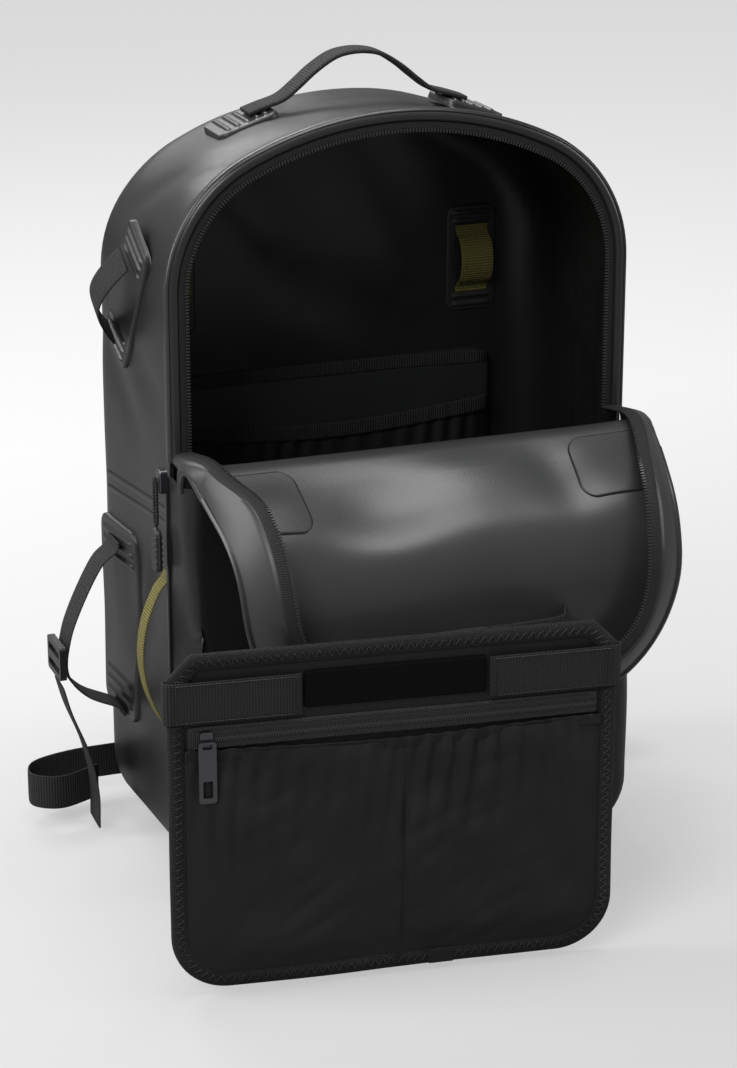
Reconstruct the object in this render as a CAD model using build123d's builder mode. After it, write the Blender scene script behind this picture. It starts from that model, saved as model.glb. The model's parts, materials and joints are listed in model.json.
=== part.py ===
from build123d import *
import math
import os

# A welded waterproof tackle backpack, standing on its base with its front flap unzipped and
# folded forward. Millimetres. Front is -Y, up is +Z, and the origin is the middle of the base.

# ---- driving dimensions ----
HALF_WIDTH = 158           # outer half width at the opening
FRONT_HALF_WIDTH = 160     # lower front panel
BACK_HALF_WIDTH = 167
HEIGHT = 512               # outer top of the opening's arch
BACK_HEIGHT = 503
TOP_RADIUS = 240           # the arch's wide top curve
CORNER_RADIUS = 94         # the arch's two shoulders
FOOT_RADIUS = 42           # bottom corners, seen from the front
FRONT_Y = -94
RIM_Y = -61                # plane of the opening
BACK_Y = 94
WALL = 3                   # coated fabric with its foam liner
BACK_EDGE = 32             # rounding of the back edge
BOOT_Z = 255               # weld between the upper wrap and the lower boot
TEETH_INSET = 12           # outer outline to the row of teeth
FOLD_Y = -97
FOLD_Z = 300
FLAP_SLOPE = 27            # open flap, degrees below level
TIP_SLOPE = 86             # drooping end of the open flap
TIP_V = 90                 # fold line to the line where the flap droops
WEB = 25                   # webbing width
WEB_THICK = 1.6
GAP = 0.4                  # between neighbouring pieces
ORGANIZER_WIDTH = 282
ORGANIZER_HEIGHT = 222
ORGANIZER_YAW = 7
ORGANIZER_TOP = (-69, -231, 226)

PARTS = []


def keep(part, label):
    """Labels one finished piece and puts it on the list to be written."""
    part.label = label
    PARTS.append(part)


def keep_pair(part, label):
    """Keeps a left piece and its mirror image on the right, each in a node of its own."""
    keep(part, label + "_left")
    keep(mirror(part, about=Plane.YZ), label + "_right")


def keep_both(part, label):
    """Keeps a left piece and its mirror image as two solids of one node."""
    with BuildPart() as both:
        add(part)
        mirror(about=Plane.YZ)
    keep(both.part, label)


def arch_lines(half_width, apex, top_radius, corner_radius, foot, foot_radius):
    """Outline of the bag seen from the front: flat foot, straight sides, arched top."""
    reach = top_radius - corner_radius
    corner_x = half_width - corner_radius
    turn = math.degrees(math.acos(corner_x / reach))
    top_z = apex - top_radius
    corner_z = top_z + reach * math.sin(math.radians(turn))
    side_foot = foot + foot_radius
    Line((half_width, side_foot), (half_width, corner_z))
    CenterArc((corner_x, corner_z), corner_radius, 0, turn)
    CenterArc((0, top_z), top_radius, turn, 180 - 2 * turn)
    CenterArc((-corner_x, corner_z), corner_radius, 180 - turn, turn)
    Line((-half_width, corner_z), (-half_width, side_foot))
    if foot_radius:
        CenterArc((foot_radius - half_width, side_foot), foot_radius, 180, 90)
    Line((foot_radius - half_width, foot), (half_width - foot_radius, foot))
    if foot_radius:
        CenterArc((half_width - foot_radius, side_foot), foot_radius, 270, 90)


def rim_lines(inset, foot):
    """The opening's arch, moved inward from the outer outline, cut off square at foot."""
    arch_lines(HALF_WIDTH - inset, HEIGHT - inset, TOP_RADIUS - inset,
               CORNER_RADIUS - inset, foot, 0)


def rim_ring(plane, outer, inner, foot, thick):
    """A flat arch-shaped band between two insets. Its feet are open."""
    with BuildPart() as ring:
        with BuildSketch(plane):
            with BuildLine():
                rim_lines(outer, foot)
            make_face()
            with BuildLine():
                rim_lines(inner, foot - 5)
            make_face(mode=Mode.SUBTRACT)
        extrude(amount=thick)
    return ring.part


def body_block(inset, front_y, back_y, edge):
    """The bag's outer form from front_y back to back_y, drawn in by inset."""
    with BuildPart() as block:
        with BuildSketch(Plane.XZ.offset(-front_y)):
            with BuildLine():
                arch_lines(HALF_WIDTH - inset, HEIGHT - inset, TOP_RADIUS - inset,
                           CORNER_RADIUS - inset, inset, FOOT_RADIUS - inset)
            make_face()
        with BuildSketch(Plane.XZ.offset(-back_y)):
            with BuildLine():
                arch_lines(BACK_HALF_WIDTH - inset, BACK_HEIGHT - inset, TOP_RADIUS + 10 - inset,
                           CORNER_RADIUS + 6 - inset, inset, FOOT_RADIUS + 4 - inset)
            make_face()
        loft()
        back = block.faces().sort_by(Axis.Y)[-1]
        fillet(back.edges(), radius=edge)
    return block.part


def webbing(plane, points, bends, width, thick=WEB_THICK):
    """A strip of webbing: its edge line drawn on plane, thickened, and width across."""
    with BuildPart() as strip:
        with BuildSketch(plane):
            with BuildLine():
                FilletPolyline(*points, radius=bends)
            trace(line_width=thick)
        extrude(amount=width / 2, both=True)
    return strip.part


def plate(plane, width, height, thick, corner):
    """A flat patch with rounded corners, centred on plane and standing thick off it."""
    with BuildPart() as flat:
        with BuildSketch(plane):
            RectangleRounded(width, height, corner)
        extrude(amount=thick)
    return flat.part


# ---- bag body: upper wrap, lower boot and back panel, welded in one hollow form ----
outer_form = body_block(0, RIM_Y, BACK_Y, BACK_EDGE)
inner_form = body_block(WALL, RIM_Y - 1, BACK_Y - WALL, BACK_EDGE - WALL)
PANEL_Y = BACK_Y - BACK_EDGE - 2

with BuildPart() as upper_wrap:
    add(outer_form)
    add(inner_form, mode=Mode.SUBTRACT)
    split(bisect_by=Plane.XZ.offset(-PANEL_Y + GAP), keep=Keep.TOP)
    split(bisect_by=Plane.XY.offset(BOOT_Z + GAP), keep=Keep.TOP)
keep(upper_wrap.part, "upper_wrap")

SOLE = (220, 110)          # the flat sole that the bag stands on, let into the boot's base
SOLE_THICK = 1
with BuildPart() as lower_boot:
    add(outer_form)
    add(inner_form, mode=Mode.SUBTRACT)
    split(bisect_by=Plane.XZ.offset(-PANEL_Y + GAP), keep=Keep.TOP)
    split(bisect_by=Plane.XY.offset(BOOT_Z), keep=Keep.BOTTOM)
    with BuildSketch(Plane.XY.offset(-SOLE_THICK)):
        Rectangle(*SOLE)
    extrude(amount=2 * SOLE_THICK, mode=Mode.SUBTRACT)
    with BuildSketch(Plane.XY):
        Rectangle(*SOLE)
    extrude(amount=SOLE_THICK)
keep(lower_boot.part, "lower_boot")

with BuildPart() as back_panel:
    add(outer_form)
    add(inner_form, mode=Mode.SUBTRACT)
    split(bisect_by=Plane.XZ.offset(-PANEL_Y), keep=Keep.BOTTOM)
keep(back_panel.part, "back_panel")

# ---- lower front panel: a shallow tray in front of the boot, open at its top and back ----
FRONT_TOP = 292
FRONT_EDGE = 14


def front_block(inset, back_y):
    """The tray's form from the front face back to back_y, drawn in by inset."""
    with BuildPart() as tray:
        with BuildSketch(Plane.XZ.offset(-back_y)):
            with BuildLine():
                half = FRONT_HALF_WIDTH - inset
                radius = FOOT_RADIUS - inset
                Line((half, inset + radius), (half, FRONT_TOP + inset))
                Line((half, FRONT_TOP + inset), (-half, FRONT_TOP + inset))
                Line((-half, FRONT_TOP + inset), (-half, inset + radius))
                CenterArc((radius - half, inset + radius), radius, 180, 90)
                Line((radius - half, inset), (half - radius, inset))
                CenterArc((half - radius, inset + radius), radius, 270, 90)
            make_face()
        extrude(amount=back_y - FRONT_Y - inset)
        front = tray.faces().sort_by(Axis.Y)[0]
        fillet(front.edges().sort_by(Axis.Z)[:-1], radius=FRONT_EDGE - inset)
    return tray.part


with BuildPart() as front_panel:
    add(front_block(0, RIM_Y - GAP))
    add(front_block(WALL, RIM_Y + 1), mode=Mode.SUBTRACT)
keep(front_panel.part, "front_panel")

# ---- rim of the opening: welded band, zip tape and the body's row of teeth ----
BAND_WIDTH = 6.5
RIM_PLANE = Plane.XZ.offset(-RIM_Y)
keep(rim_ring(RIM_PLANE, 0, BAND_WIDTH, FOLD_Z + 2, 2), "rim_band")
keep(rim_ring(RIM_PLANE, BAND_WIDTH + GAP, TEETH_INSET - 0.2, FOLD_Z + 2, 1.2), "rim_tape")
keep(rim_ring(RIM_PLANE.offset(-1), TEETH_INSET, TEETH_INSET + 2.4, FOLD_Z + 2, 2.2), "rim_teeth")

# ---- flap: face, gusset, tape and teeth, drawn closed and laid on the open flap's plane ----


def fold_plane(origin_y, origin_z, slope):
    """Plane whose local Y runs out along a flap that lies slope degrees below level."""
    angle = math.radians(slope)
    under = (0, math.sin(angle), -math.cos(angle))
    return Plane(origin=(0, origin_y, origin_z), x_dir=(1, 0, 0), z_dir=under)


def along(origin_y, origin_z, slope, distance):
    """Point at a distance down a slope, as (y, z)."""
    angle = math.radians(slope)
    return origin_y - distance * math.cos(angle), origin_z - distance * math.sin(angle)


TIP_Y, TIP_Z = along(FOLD_Y, FOLD_Z, FLAP_SLOPE, TIP_V)
FLAP_PLANE = fold_plane(FOLD_Y, FOLD_Z, FLAP_SLOPE)
TIP_PLANE = fold_plane(TIP_Y, TIP_Z, TIP_SLOPE)
FLAP_START = 14
FACE_DEPTH = 3             # fold axis to the flap's outer face
FACE_THICK = 3
GUSSET_END = 32            # fold axis to the gusset's free edge
GUSSET_THICK = 2.5
FACE_INSET = 1
FLAP_LENGTH = TIP_V - FLAP_START

with BuildPart() as flap_face:
    with BuildSketch(FLAP_PLANE.offset(-FACE_DEPTH)):
        with Locations((0, FLAP_START + FLAP_LENGTH / 2)):
            Rectangle(2 * (HALF_WIDTH - FACE_INSET), FLAP_LENGTH)
    extrude(amount=-FACE_THICK)
keep(flap_face.part, "flap_face")


def flap_side(inset, width, depth, thick):
    """A straight strip up the flap's left edge, from the fold to the droop line."""
    with BuildPart() as side:
        with BuildSketch(FLAP_PLANE.offset(-depth)):
            with Locations((inset + width / 2 - HALF_WIDTH, FLAP_START + FLAP_LENGTH / 2)):
                Rectangle(width, FLAP_LENGTH)
        extrude(amount=-thick)
    return side.part


FACE_BACK = FACE_DEPTH + FACE_THICK + GAP
keep_both(flap_side(FACE_INSET, GUSSET_THICK, FACE_BACK, GUSSET_END - FACE_BACK), "flap_gusset")
TAPE_INSET = FACE_INSET + GUSSET_THICK + GAP
keep_both(flap_side(TAPE_INSET, TEETH_INSET - TAPE_INSET - GAP, GUSSET_END - 1.2, 1.2), "flap_tape")
keep_both(flap_side(TEETH_INSET, 2.4, GUSSET_END - 1.6, 2), "flap_teeth")

PATCH_DEPTH = FACE_DEPTH + FACE_THICK
with BuildPart() as flap_patch:
    with BuildSketch(FLAP_PLANE.offset(-PATCH_DEPTH)):
        with Locations((-121, FLAP_START + 26)):
            RectangleRounded(54, 50, 9)
    extrude(amount=-1.2)
keep_both(flap_patch.part, "flap_patches")

# ---- drooping end of the flap, past the droop line ----
TIP_SHIFT = FOLD_Z + TIP_V      # how far the arch is drawn lower on the tip's own plane


def tip_arch(inset, depth, thick, cut=None):
    """The flap's arched end at an inset, or the band between two insets."""
    with BuildPart() as arch:
        with BuildSketch(TIP_PLANE.offset(-depth)):
            with BuildLine():
                rim = (HALF_WIDTH - inset, HEIGHT - inset - TIP_SHIFT, TOP_RADIUS - inset,
                       CORNER_RADIUS - inset)
                arch_lines(*rim, 1, 0)
            make_face()
            if cut:
                with BuildLine():
                    arch_lines(HALF_WIDTH - cut, HEIGHT - cut - TIP_SHIFT, TOP_RADIUS - cut,
                               CORNER_RADIUS - cut, -5, 0)
                make_face(mode=Mode.SUBTRACT)
        extrude(amount=-thick)
    return arch.part


keep(tip_arch(FACE_INSET, FACE_DEPTH, FACE_THICK), "tip_face")
keep(tip_arch(FACE_INSET, FACE_BACK, GUSSET_END - FACE_BACK, FACE_INSET + GUSSET_THICK), "tip_gusset")
keep(tip_arch(TAPE_INSET, GUSSET_END - 1.2, 1.2, TEETH_INSET - GAP), "tip_tape")
keep(tip_arch(TEETH_INSET, GUSSET_END - 1.6, 2, TEETH_INSET + 2.4), "tip_teeth")

STRAP_V = 40               # droop line to the middle of the cross strap
STRAP_DEPTH = 33
with BuildPart() as cross_strap:
    with BuildSketch(TIP_PLANE.offset(-STRAP_DEPTH)):
        with Locations((0, STRAP_V)):
            Rectangle(2 * (HALF_WIDTH - TEETH_INSET - 8), 18)
    extrude(amount=-1.2)
keep(cross_strap.part, "cross_strap")

# ---- main zip slider with its cord and moulded pull, at the left end of the zip ----
SLIDER_X = -FRONT_HALF_WIDTH - 3.2
SLIDER_Z = 284
with BuildPart() as main_slider:
    with BuildSketch(Plane.YZ.offset(SLIDER_X - 2.6)):
        with Locations((-60, SLIDER_Z)):
            RectangleRounded(9, 16, 2.5)
    extrude(amount=5.2)
    fillet(main_slider.edges().filter_by(Plane.YZ).sort_by(Axis.X)[:4], radius=1)
keep(main_slider.part, "main_slider")

CORD_X = SLIDER_X - 4.4
with BuildPart() as pull_cord:
    with BuildSketch(Plane.YZ.offset(CORD_X - 1)):
        with Locations((-60, SLIDER_Z - 14)):
            SlotOverall(34, 7, rotation=90)
            SlotOverall(30, 3.4, rotation=90, mode=Mode.SUBTRACT)
    extrude(amount=2)
keep(pull_cord.part, "pull_cord")

with BuildPart() as pull_tab:
    with BuildSketch(Plane.YZ.offset(CORD_X - 3)):
        with Locations((-60, SLIDER_Z - 46)):
            RectangleRounded(12, 29, 4)
    extrude(amount=6)
    fillet(pull_tab.edges().filter_by(Plane.YZ), radius=1.2)
keep(pull_tab.part, "pull_tab")

# ---- carry handle on the top, with its two welded patches ----
HANDLE_Y = 25
HANDLE_X = 66
HANDLE_PATH = [(-HANDLE_X, 503.6), (-52, 508), (-31, 524), (-11, 536), (11, 536), (31, 524),
               (52, 508), (HANDLE_X, 503.6)]
handle = webbing(Plane.XZ.offset(-HANDLE_Y), HANDLE_PATH, [14, 26, 30, 30, 26, 14], 20, 3.2)
keep(handle, "top_handle")

PATCH_X = 79               # middle of the welded patch under each end of the handle
with BuildPart() as handle_patch:
    with BuildSketch(Plane(origin=(-PATCH_X, HANDLE_Y, 492.9), x_dir=(0.948, 0, 0.318),
                           z_dir=(-0.318, 0, 0.948))):
        RectangleRounded(44, 40, 5)
    extrude(amount=3.6)
    add(outer_form, mode=Mode.SUBTRACT)
keep_both(handle_patch.part, "handle_patches")

# ---- side fittings: made on the left wall and mirrored ----
SIDE_X = -166


def side_plane(y, z, turn=0):
    """Plane on the left wall that faces left, with local X to the back, turned in place."""
    angle = math.radians(turn)
    return Plane(origin=(SIDE_X, y, z), x_dir=(0, -math.cos(angle), -math.sin(angle)),
                 z_dir=(-1, 0, 0))


def side_patch(y, z, width, height, turn, corner):
    """A welded patch that follows the wall: a slab cut back to the wall's own surface."""
    with BuildPart() as patch:
        with BuildSketch(side_plane(y, z, turn).offset(-8)):
            RectangleRounded(width, height, corner)
        extrude(amount=9.6)
        add(outer_form, mode=Mode.SUBTRACT)
    return patch.part


UPPER_Y, UPPER_Z, UPPER_TURN = 14, 388, 32
LOWER_Y, LOWER_Z = 44, 154
keep_both(side_patch(UPPER_Y, UPPER_Z, 44, 104, UPPER_TURN, 8), "upper_patches")
keep_pair(side_patch(LOWER_Y, LOWER_Z, 64, 138, 0, 8), "lower_patch")

LOOP_PATH = [(-168.6, 34), (-176, 22), (-183, 8), (-183, -8), (-176, -22), (-168.6, -34)]
turned = math.radians(UPPER_TURN)
LOOP_PLANE = Plane(origin=(0, UPPER_Y, UPPER_Z), x_dir=(1, 0, 0),
                   z_dir=(0, -math.cos(turned), -math.sin(turned)))
keep_pair(webbing(LOOP_PLANE, LOOP_PATH, [8, 12, 12, 12], 22), "upper_loop")

SIDE_PATH = [(-168.8, 206), (-180, 196), (-194, 170), (-203, 146), (-205, 122), (-192, 104),
             (-168.8, 92)]
keep_pair(webbing(Plane.XZ.offset(-LOWER_Y), SIDE_PATH, [8, 22, 22, 16, 14], WEB), "side_strap")
TAIL_PATH = [(-208.5, 112), (-203, 92), (-190, 60), (-184, 30), (-186, 8)]
keep_pair(webbing(Plane.XZ.offset(-LOWER_Y), TAIL_PATH, [30, 34, 34], WEB), "side_tail")

with BuildPart() as side_buckle:
    with BuildSketch(Plane(origin=(-207.4, LOWER_Y, 131), x_dir=(0, -1, 0), z_dir=(-1, 0, 0))):
        RectangleRounded(33, 24, 3)
        with Locations((0, 5.5), (0, -5.5)):
            Rectangle(26, 5, mode=Mode.SUBTRACT)
    extrude(amount=4.5)
keep_pair(side_buckle.part, "side_buckle")

GEAR_PATH = [(-161, 214), (-167, 206), (-175, 186), (-178, 163), (-175, 140), (-167, 120), (-161, 112)]
GEAR_Y = -52
keep_both(webbing(Plane.XZ.offset(-GEAR_Y), GEAR_PATH, [6, 26, 30, 26, 6], 14, 1.5), "gear_loops")

# ---- inside: sleeve, gathered pocket, and two patches with gear loops on the back wall ----
INNER_BACK = BACK_Y - WALL
SLEEVE_PLANE = Plane(origin=(0, INNER_BACK - 1.5, 168), x_dir=(1, 0, 0), z_dir=(0, -1, 0))
keep(plate(SLEEVE_PLANE, 250, 278, 7, 12), "padded_sleeve")
POCKET_WALL = 1.5
POCKET_PLANE = Plane(origin=(0, INNER_BACK - 9, 152), x_dir=(1, 0, 0), z_dir=(0, -1, 0))
with BuildPart() as inner_pocket:
    with BuildSketch(POCKET_PLANE):
        Rectangle(246, 236)
    extrude(amount=10)
    with BuildSketch(POCKET_PLANE.offset(POCKET_WALL)):
        with Locations((0, 5)):
            Rectangle(246 - 2 * POCKET_WALL, 236)
    extrude(amount=10 - 2 * POCKET_WALL, mode=Mode.SUBTRACT)
keep(inner_pocket.part, "inner_pocket")

with BuildPart() as inner_patch:
    with BuildSketch(Plane.XZ.offset(-INNER_BACK + GAP)):
        with Locations((-111, 372)):
            RectangleRounded(38, 76, 7)
    extrude(amount=1.6)
keep_both(inner_patch.part, "inner_patches")
INNER_LOOP = [(INNER_BACK - 3, 391), (INNER_BACK - 11, 384), (INNER_BACK - 14, 372),
              (INNER_BACK - 11, 360), (INNER_BACK - 3, 353)]
keep_both(webbing(Plane.YZ.offset(-111), INNER_LOOP, [7, 12, 7], 24), "inner_loops")

# ---- back: pads, shoulder straps, their webbing and ladder locks, and waist straps ----
PAD_Y = -BACK_Y - GAP
with BuildPart() as back_pad:
    with BuildSketch(Plane.XZ.offset(PAD_Y)):
        with Locations((-56, 272)):
            RectangleRounded(78, 280, 26)
    extrude(amount=-13)
    fillet(back_pad.faces().sort_by(Axis.Y)[-1].edges(), radius=6)
keep_pair(back_pad.part, "back_pad")

STRAP_PATH = [(BACK_Y + 6, 436), (BACK_Y + 16, 454), (BACK_Y + 36, 442), (BACK_Y + 52, 380),
              (BACK_Y + 54, 300), (BACK_Y + 46, 225), (BACK_Y + 34, 182)]
with BuildPart() as shoulder_strap:
    with BuildSketch(Plane.YZ.offset(-62)):
        with BuildLine():
            FilletPolyline(*STRAP_PATH, radius=[7, 16, 60, 60, 50])
        trace(line_width=9)
    extrude(amount=30, both=True)
keep_pair(shoulder_strap.part, "shoulder_strap")

with BuildPart() as ladder_lock:
    with BuildSketch(Plane(origin=(-62, BACK_Y + 26, 163), x_dir=(1, 0, 0), z_dir=(0, 0.934, -0.358))):
        RectangleRounded(33, 22, 3)
        with Locations((0, 5), (0, -5)):
            Rectangle(26, 4.4, mode=Mode.SUBTRACT)
    extrude(amount=4)
keep_pair(ladder_lock.part, "ladder_lock")

LOWER_WEB = [(BACK_Y + 25, 151), (BACK_Y + 20, 124), (BACK_Y + 9, 88), (BACK_Y + 2, 52)]
keep_pair(webbing(Plane.YZ.offset(-62), LOWER_WEB, [40, 50], WEB), "shoulder_web")

WAIST_PATH = [(-112, BACK_Y + 2.5), (-150, BACK_Y + 4), (-190, BACK_Y + 3), (-222, BACK_Y - 10),
              (-226, BACK_Y - 32), (-206, BACK_Y - 40), (-178, BACK_Y - 28)]
keep_pair(webbing(Plane.XY.offset(26), WAIST_PATH, [60, 50, 20, 12, 14], WEB), "waist_strap")

# ---- organizer panel: hangs by its top edge from the cross strap ----
yaw = math.radians(ORGANIZER_YAW)
ORGANIZER_PLANE = Plane(origin=ORGANIZER_TOP, x_dir=(math.cos(yaw), -math.sin(yaw), 0),
                        z_dir=(-math.sin(yaw), -math.cos(yaw), 0))
BINDING = 10
HEM_RADIUS = 36
TOP_CHAMFER = 15


def organizer_lines(inset):
    """The panel's outline: two large round corners below, two cut corners above."""
    half = ORGANIZER_WIDTH / 2 - inset
    low = -ORGANIZER_HEIGHT + inset
    radius = HEM_RADIUS - inset
    cut = TOP_CHAMFER - inset / 2
    Line((cut - half, -inset), (half - cut, -inset))
    Line((half - cut, -inset), (half, -inset - cut))
    Line((half, -inset - cut), (half, low + radius))
    CenterArc((half - radius, low + radius), radius, 270, 90)
    Line((half - radius, low), (radius - half, low))
    CenterArc((radius - half, low + radius), radius, 180, 90)
    Line((-half, low + radius), (-half, -inset - cut))
    Line((-half, -inset - cut), (cut - half, -inset))


with BuildPart() as organizer_backing:
    with BuildSketch(ORGANIZER_PLANE.offset(-2.5)):
        with BuildLine():
            organizer_lines(BINDING + GAP)
        make_face()
    extrude(amount=2.5)
keep(organizer_backing.part, "organizer_backing")

with BuildPart() as organizer_binding:
    with BuildSketch(ORGANIZER_PLANE.offset(-3.6)):
        with BuildLine():
            organizer_lines(0)
        make_face()
    extrude(amount=4.8)
    with BuildSketch(ORGANIZER_PLANE.offset(-4.6)):
        with BuildLine():
            organizer_lines(BINDING)
        make_face()
    extrude(amount=7, mode=Mode.SUBTRACT)
keep(organizer_binding.part, "organizer_binding")


def on_organizer(label, x, y, width, height, base, thick, corner=0.8):
    """A flat piece on the panel's front, placed from the middle of its top edge."""
    with BuildPart() as piece:
        with BuildSketch(ORGANIZER_PLANE.offset(base)):
            with Locations((x, y)):
                RectangleRounded(width, height, corner)
        extrude(amount=thick)
    keep(piece.part, label)


TAB_LENGTH = 82
TAB_Y = -30
tab_x = ORGANIZER_WIDTH / 2 - TAB_LENGTH / 2
on_organizer("organizer_tab_left", -tab_x, TAB_Y, TAB_LENGTH, 27, 1.5, 1.6)
on_organizer("organizer_tab_right", tab_x, TAB_Y, TAB_LENGTH, 27, 1.5, 1.6)
on_organizer("hook_strip", 0, TAB_Y + 2, ORGANIZER_WIDTH - 2 * TAB_LENGTH - 4, 24, 0.4, 2.2)
ZIP_Y = -54
on_organizer("organizer_zip_tape", 0, ZIP_Y, ORGANIZER_WIDTH - 2 * BINDING - 4, 15, 0.4, 0.8)
ZIP_LENGTH = 254
on_organizer("organizer_coil", 3, ZIP_Y, ZIP_LENGTH, 4, 1.4, 1)
SLIDER_START = -118
on_organizer("organizer_slider", SLIDER_START, ZIP_Y, 8, 11, 2.7, 2.6, 1.5)

with BuildPart() as organizer_puller:
    with BuildSketch(ORGANIZER_PLANE.offset(5.8)):
        with Locations((SLIDER_START, ZIP_Y - 20)):
            RectangleRounded(11, 40, 2)
        with Locations((SLIDER_START, ZIP_Y - 31)):
            RectangleRounded(6, 11, 1, mode=Mode.SUBTRACT)
        with Locations((SLIDER_START, ZIP_Y - 3)):
            RectangleRounded(6, 3.4, 1, mode=Mode.SUBTRACT)
    extrude(amount=1.8)
keep(organizer_puller.part, "organizer_puller")

on_organizer("organizer_pocket", 0, -137, ORGANIZER_WIDTH - 2 * BINDING - 2, 146, 0.4, 4.2, 26)

# a short sleeve of webbing that slides along the cross strap and carries the panel
HANGER_LENGTH = 60
HANGER_FRONT = 45.5
HANGER_BACK = STRAP_DEPTH - 1.8
with BuildPart() as organizer_hanger:
    with BuildSketch(TIP_PLANE.offset(-HANGER_BACK)):
        with Locations((ORGANIZER_TOP[0] + 34, STRAP_V)):
            Rectangle(HANGER_LENGTH, 23)
    extrude(amount=HANGER_BACK - HANGER_FRONT)
    with BuildSketch(TIP_PLANE.offset(-STRAP_DEPTH + GAP)):
        with Locations((0, STRAP_V)):
            Rectangle(2 * HALF_WIDTH, 19)
    extrude(amount=-2, mode=Mode.SUBTRACT)
keep(organizer_hanger.part, "organizer_hanger")

# ---- write every piece ----
os.makedirs("parts", exist_ok=True)
for part in PARTS:
    export_step(part, f"parts/{part.label}.step")
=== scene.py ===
import json
import math

import bpy
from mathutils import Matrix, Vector, noise

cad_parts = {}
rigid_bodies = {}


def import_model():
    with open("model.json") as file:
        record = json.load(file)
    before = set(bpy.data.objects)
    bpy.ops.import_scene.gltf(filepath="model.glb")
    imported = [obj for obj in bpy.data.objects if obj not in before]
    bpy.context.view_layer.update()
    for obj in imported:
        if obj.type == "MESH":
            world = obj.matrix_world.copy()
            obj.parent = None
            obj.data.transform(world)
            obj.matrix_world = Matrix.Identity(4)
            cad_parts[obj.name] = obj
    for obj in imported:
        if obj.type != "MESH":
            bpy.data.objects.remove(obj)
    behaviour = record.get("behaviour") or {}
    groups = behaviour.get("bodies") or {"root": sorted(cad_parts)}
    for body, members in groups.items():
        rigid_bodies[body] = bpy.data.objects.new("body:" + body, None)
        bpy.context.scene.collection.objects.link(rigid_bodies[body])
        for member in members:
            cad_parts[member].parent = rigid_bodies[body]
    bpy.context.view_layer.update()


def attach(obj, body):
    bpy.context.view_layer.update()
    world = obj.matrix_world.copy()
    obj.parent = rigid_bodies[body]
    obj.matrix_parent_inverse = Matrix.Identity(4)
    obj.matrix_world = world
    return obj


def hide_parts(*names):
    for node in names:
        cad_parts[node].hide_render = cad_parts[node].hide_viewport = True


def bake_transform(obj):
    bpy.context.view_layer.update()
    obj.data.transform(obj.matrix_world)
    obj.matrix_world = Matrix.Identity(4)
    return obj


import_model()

# Camera and studio. The bag stands on a plain pale floor that runs out of view, under five
# soft lamps and a pale sky. The camera looks down a little from the bag's front left.
for imported in bpy.data.objects:
    imported.select_set(False)

VIEW_AZIMUTH, VIEW_HEIGHT, VIEW_DISTANCE = math.radians(-20.6), math.radians(19.2), 2.032
VIEW_MIDDLE = Vector((0.0004, 0, 0.2085))
towards_camera = Vector((math.sin(VIEW_AZIMUTH) * math.cos(VIEW_HEIGHT),
                         -math.cos(VIEW_AZIMUTH) * math.cos(VIEW_HEIGHT),
                         math.sin(VIEW_HEIGHT)))
camera = bpy.data.objects.new("camera", bpy.data.cameras.new("camera"))
bpy.context.scene.collection.objects.link(camera)
camera.location = VIEW_MIDDLE + towards_camera * VIEW_DISTANCE
camera.rotation_euler = towards_camera.to_track_quat("Z", "Y").to_euler()
camera.data.lens = 100.3
camera.data.sensor_width = 36
bpy.context.scene.camera = camera
bpy.context.scene.view_settings.view_transform = "Standard"


def new_material(name):
    """A node material, its shader, and two functions: add makes a node, feed wires the shader."""
    material = bpy.data.materials.new(name)
    material.use_nodes = True
    tree = material.node_tree
    shader = tree.nodes["Principled BSDF"]

    def add(kind, settings=None, **links):
        """Adds a node; a link is named by its socket, or by _ and the socket's number."""
        node = tree.nodes.new(kind)
        for key, value in (settings or {}).items():
            if hasattr(node, key):
                setattr(node, key, value)
            else:
                node.inputs[key.replace("_", " ")].default_value = value
        for key, source in links.items():
            socket = node.inputs[int(key[1:]) if key[1:].isdigit() else key.replace("_", " ")]
            if isinstance(source, (int, float)):
                socket.default_value = source
            else:
                tree.links.new(source, socket)
        return node

    def feed(socket, node, output=0):
        """Links one of a node's outputs to the shader."""
        tree.links.new(node.outputs[output], shader.inputs[socket])

    return material, shader, add, feed


def area_lamp(name, place, aim, size, power):
    """A rectangular lamp at a place, turned towards its aim."""
    lamp = bpy.data.objects.new(name, bpy.data.lights.new(name, "AREA"))
    bpy.context.scene.collection.objects.link(lamp)
    lamp.data.shape = "RECTANGLE"
    lamp.data.size, lamp.data.size_y = size
    lamp.data.energy = power
    lamp.location = place
    lamp.rotation_euler = (Vector(place) - Vector(aim)).to_track_quat("Z", "Y").to_euler()


area_lamp("key", (-1.5, -1.5, 1.9), (0, 0, 0.25), size=(1.1, 1.1), power=30)
area_lamp("side", (1.9, -0.7, 1.0), (0, 0, 0.3), size=(0.5, 1.5), power=10)
area_lamp("left", (-1.9, 0.5, 1.1), (0, 0, 0.3), size=(0.7, 1.6), power=26)
area_lamp("back", (-0.3, 1.7, 1.7), (0, 0, 0.4), size=(1.4, 0.6), power=22)
area_lamp("top", (0.1, -0.2, 2.2), (0, 0, 0.3), size=(1.3, 0.8), power=22)

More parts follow.
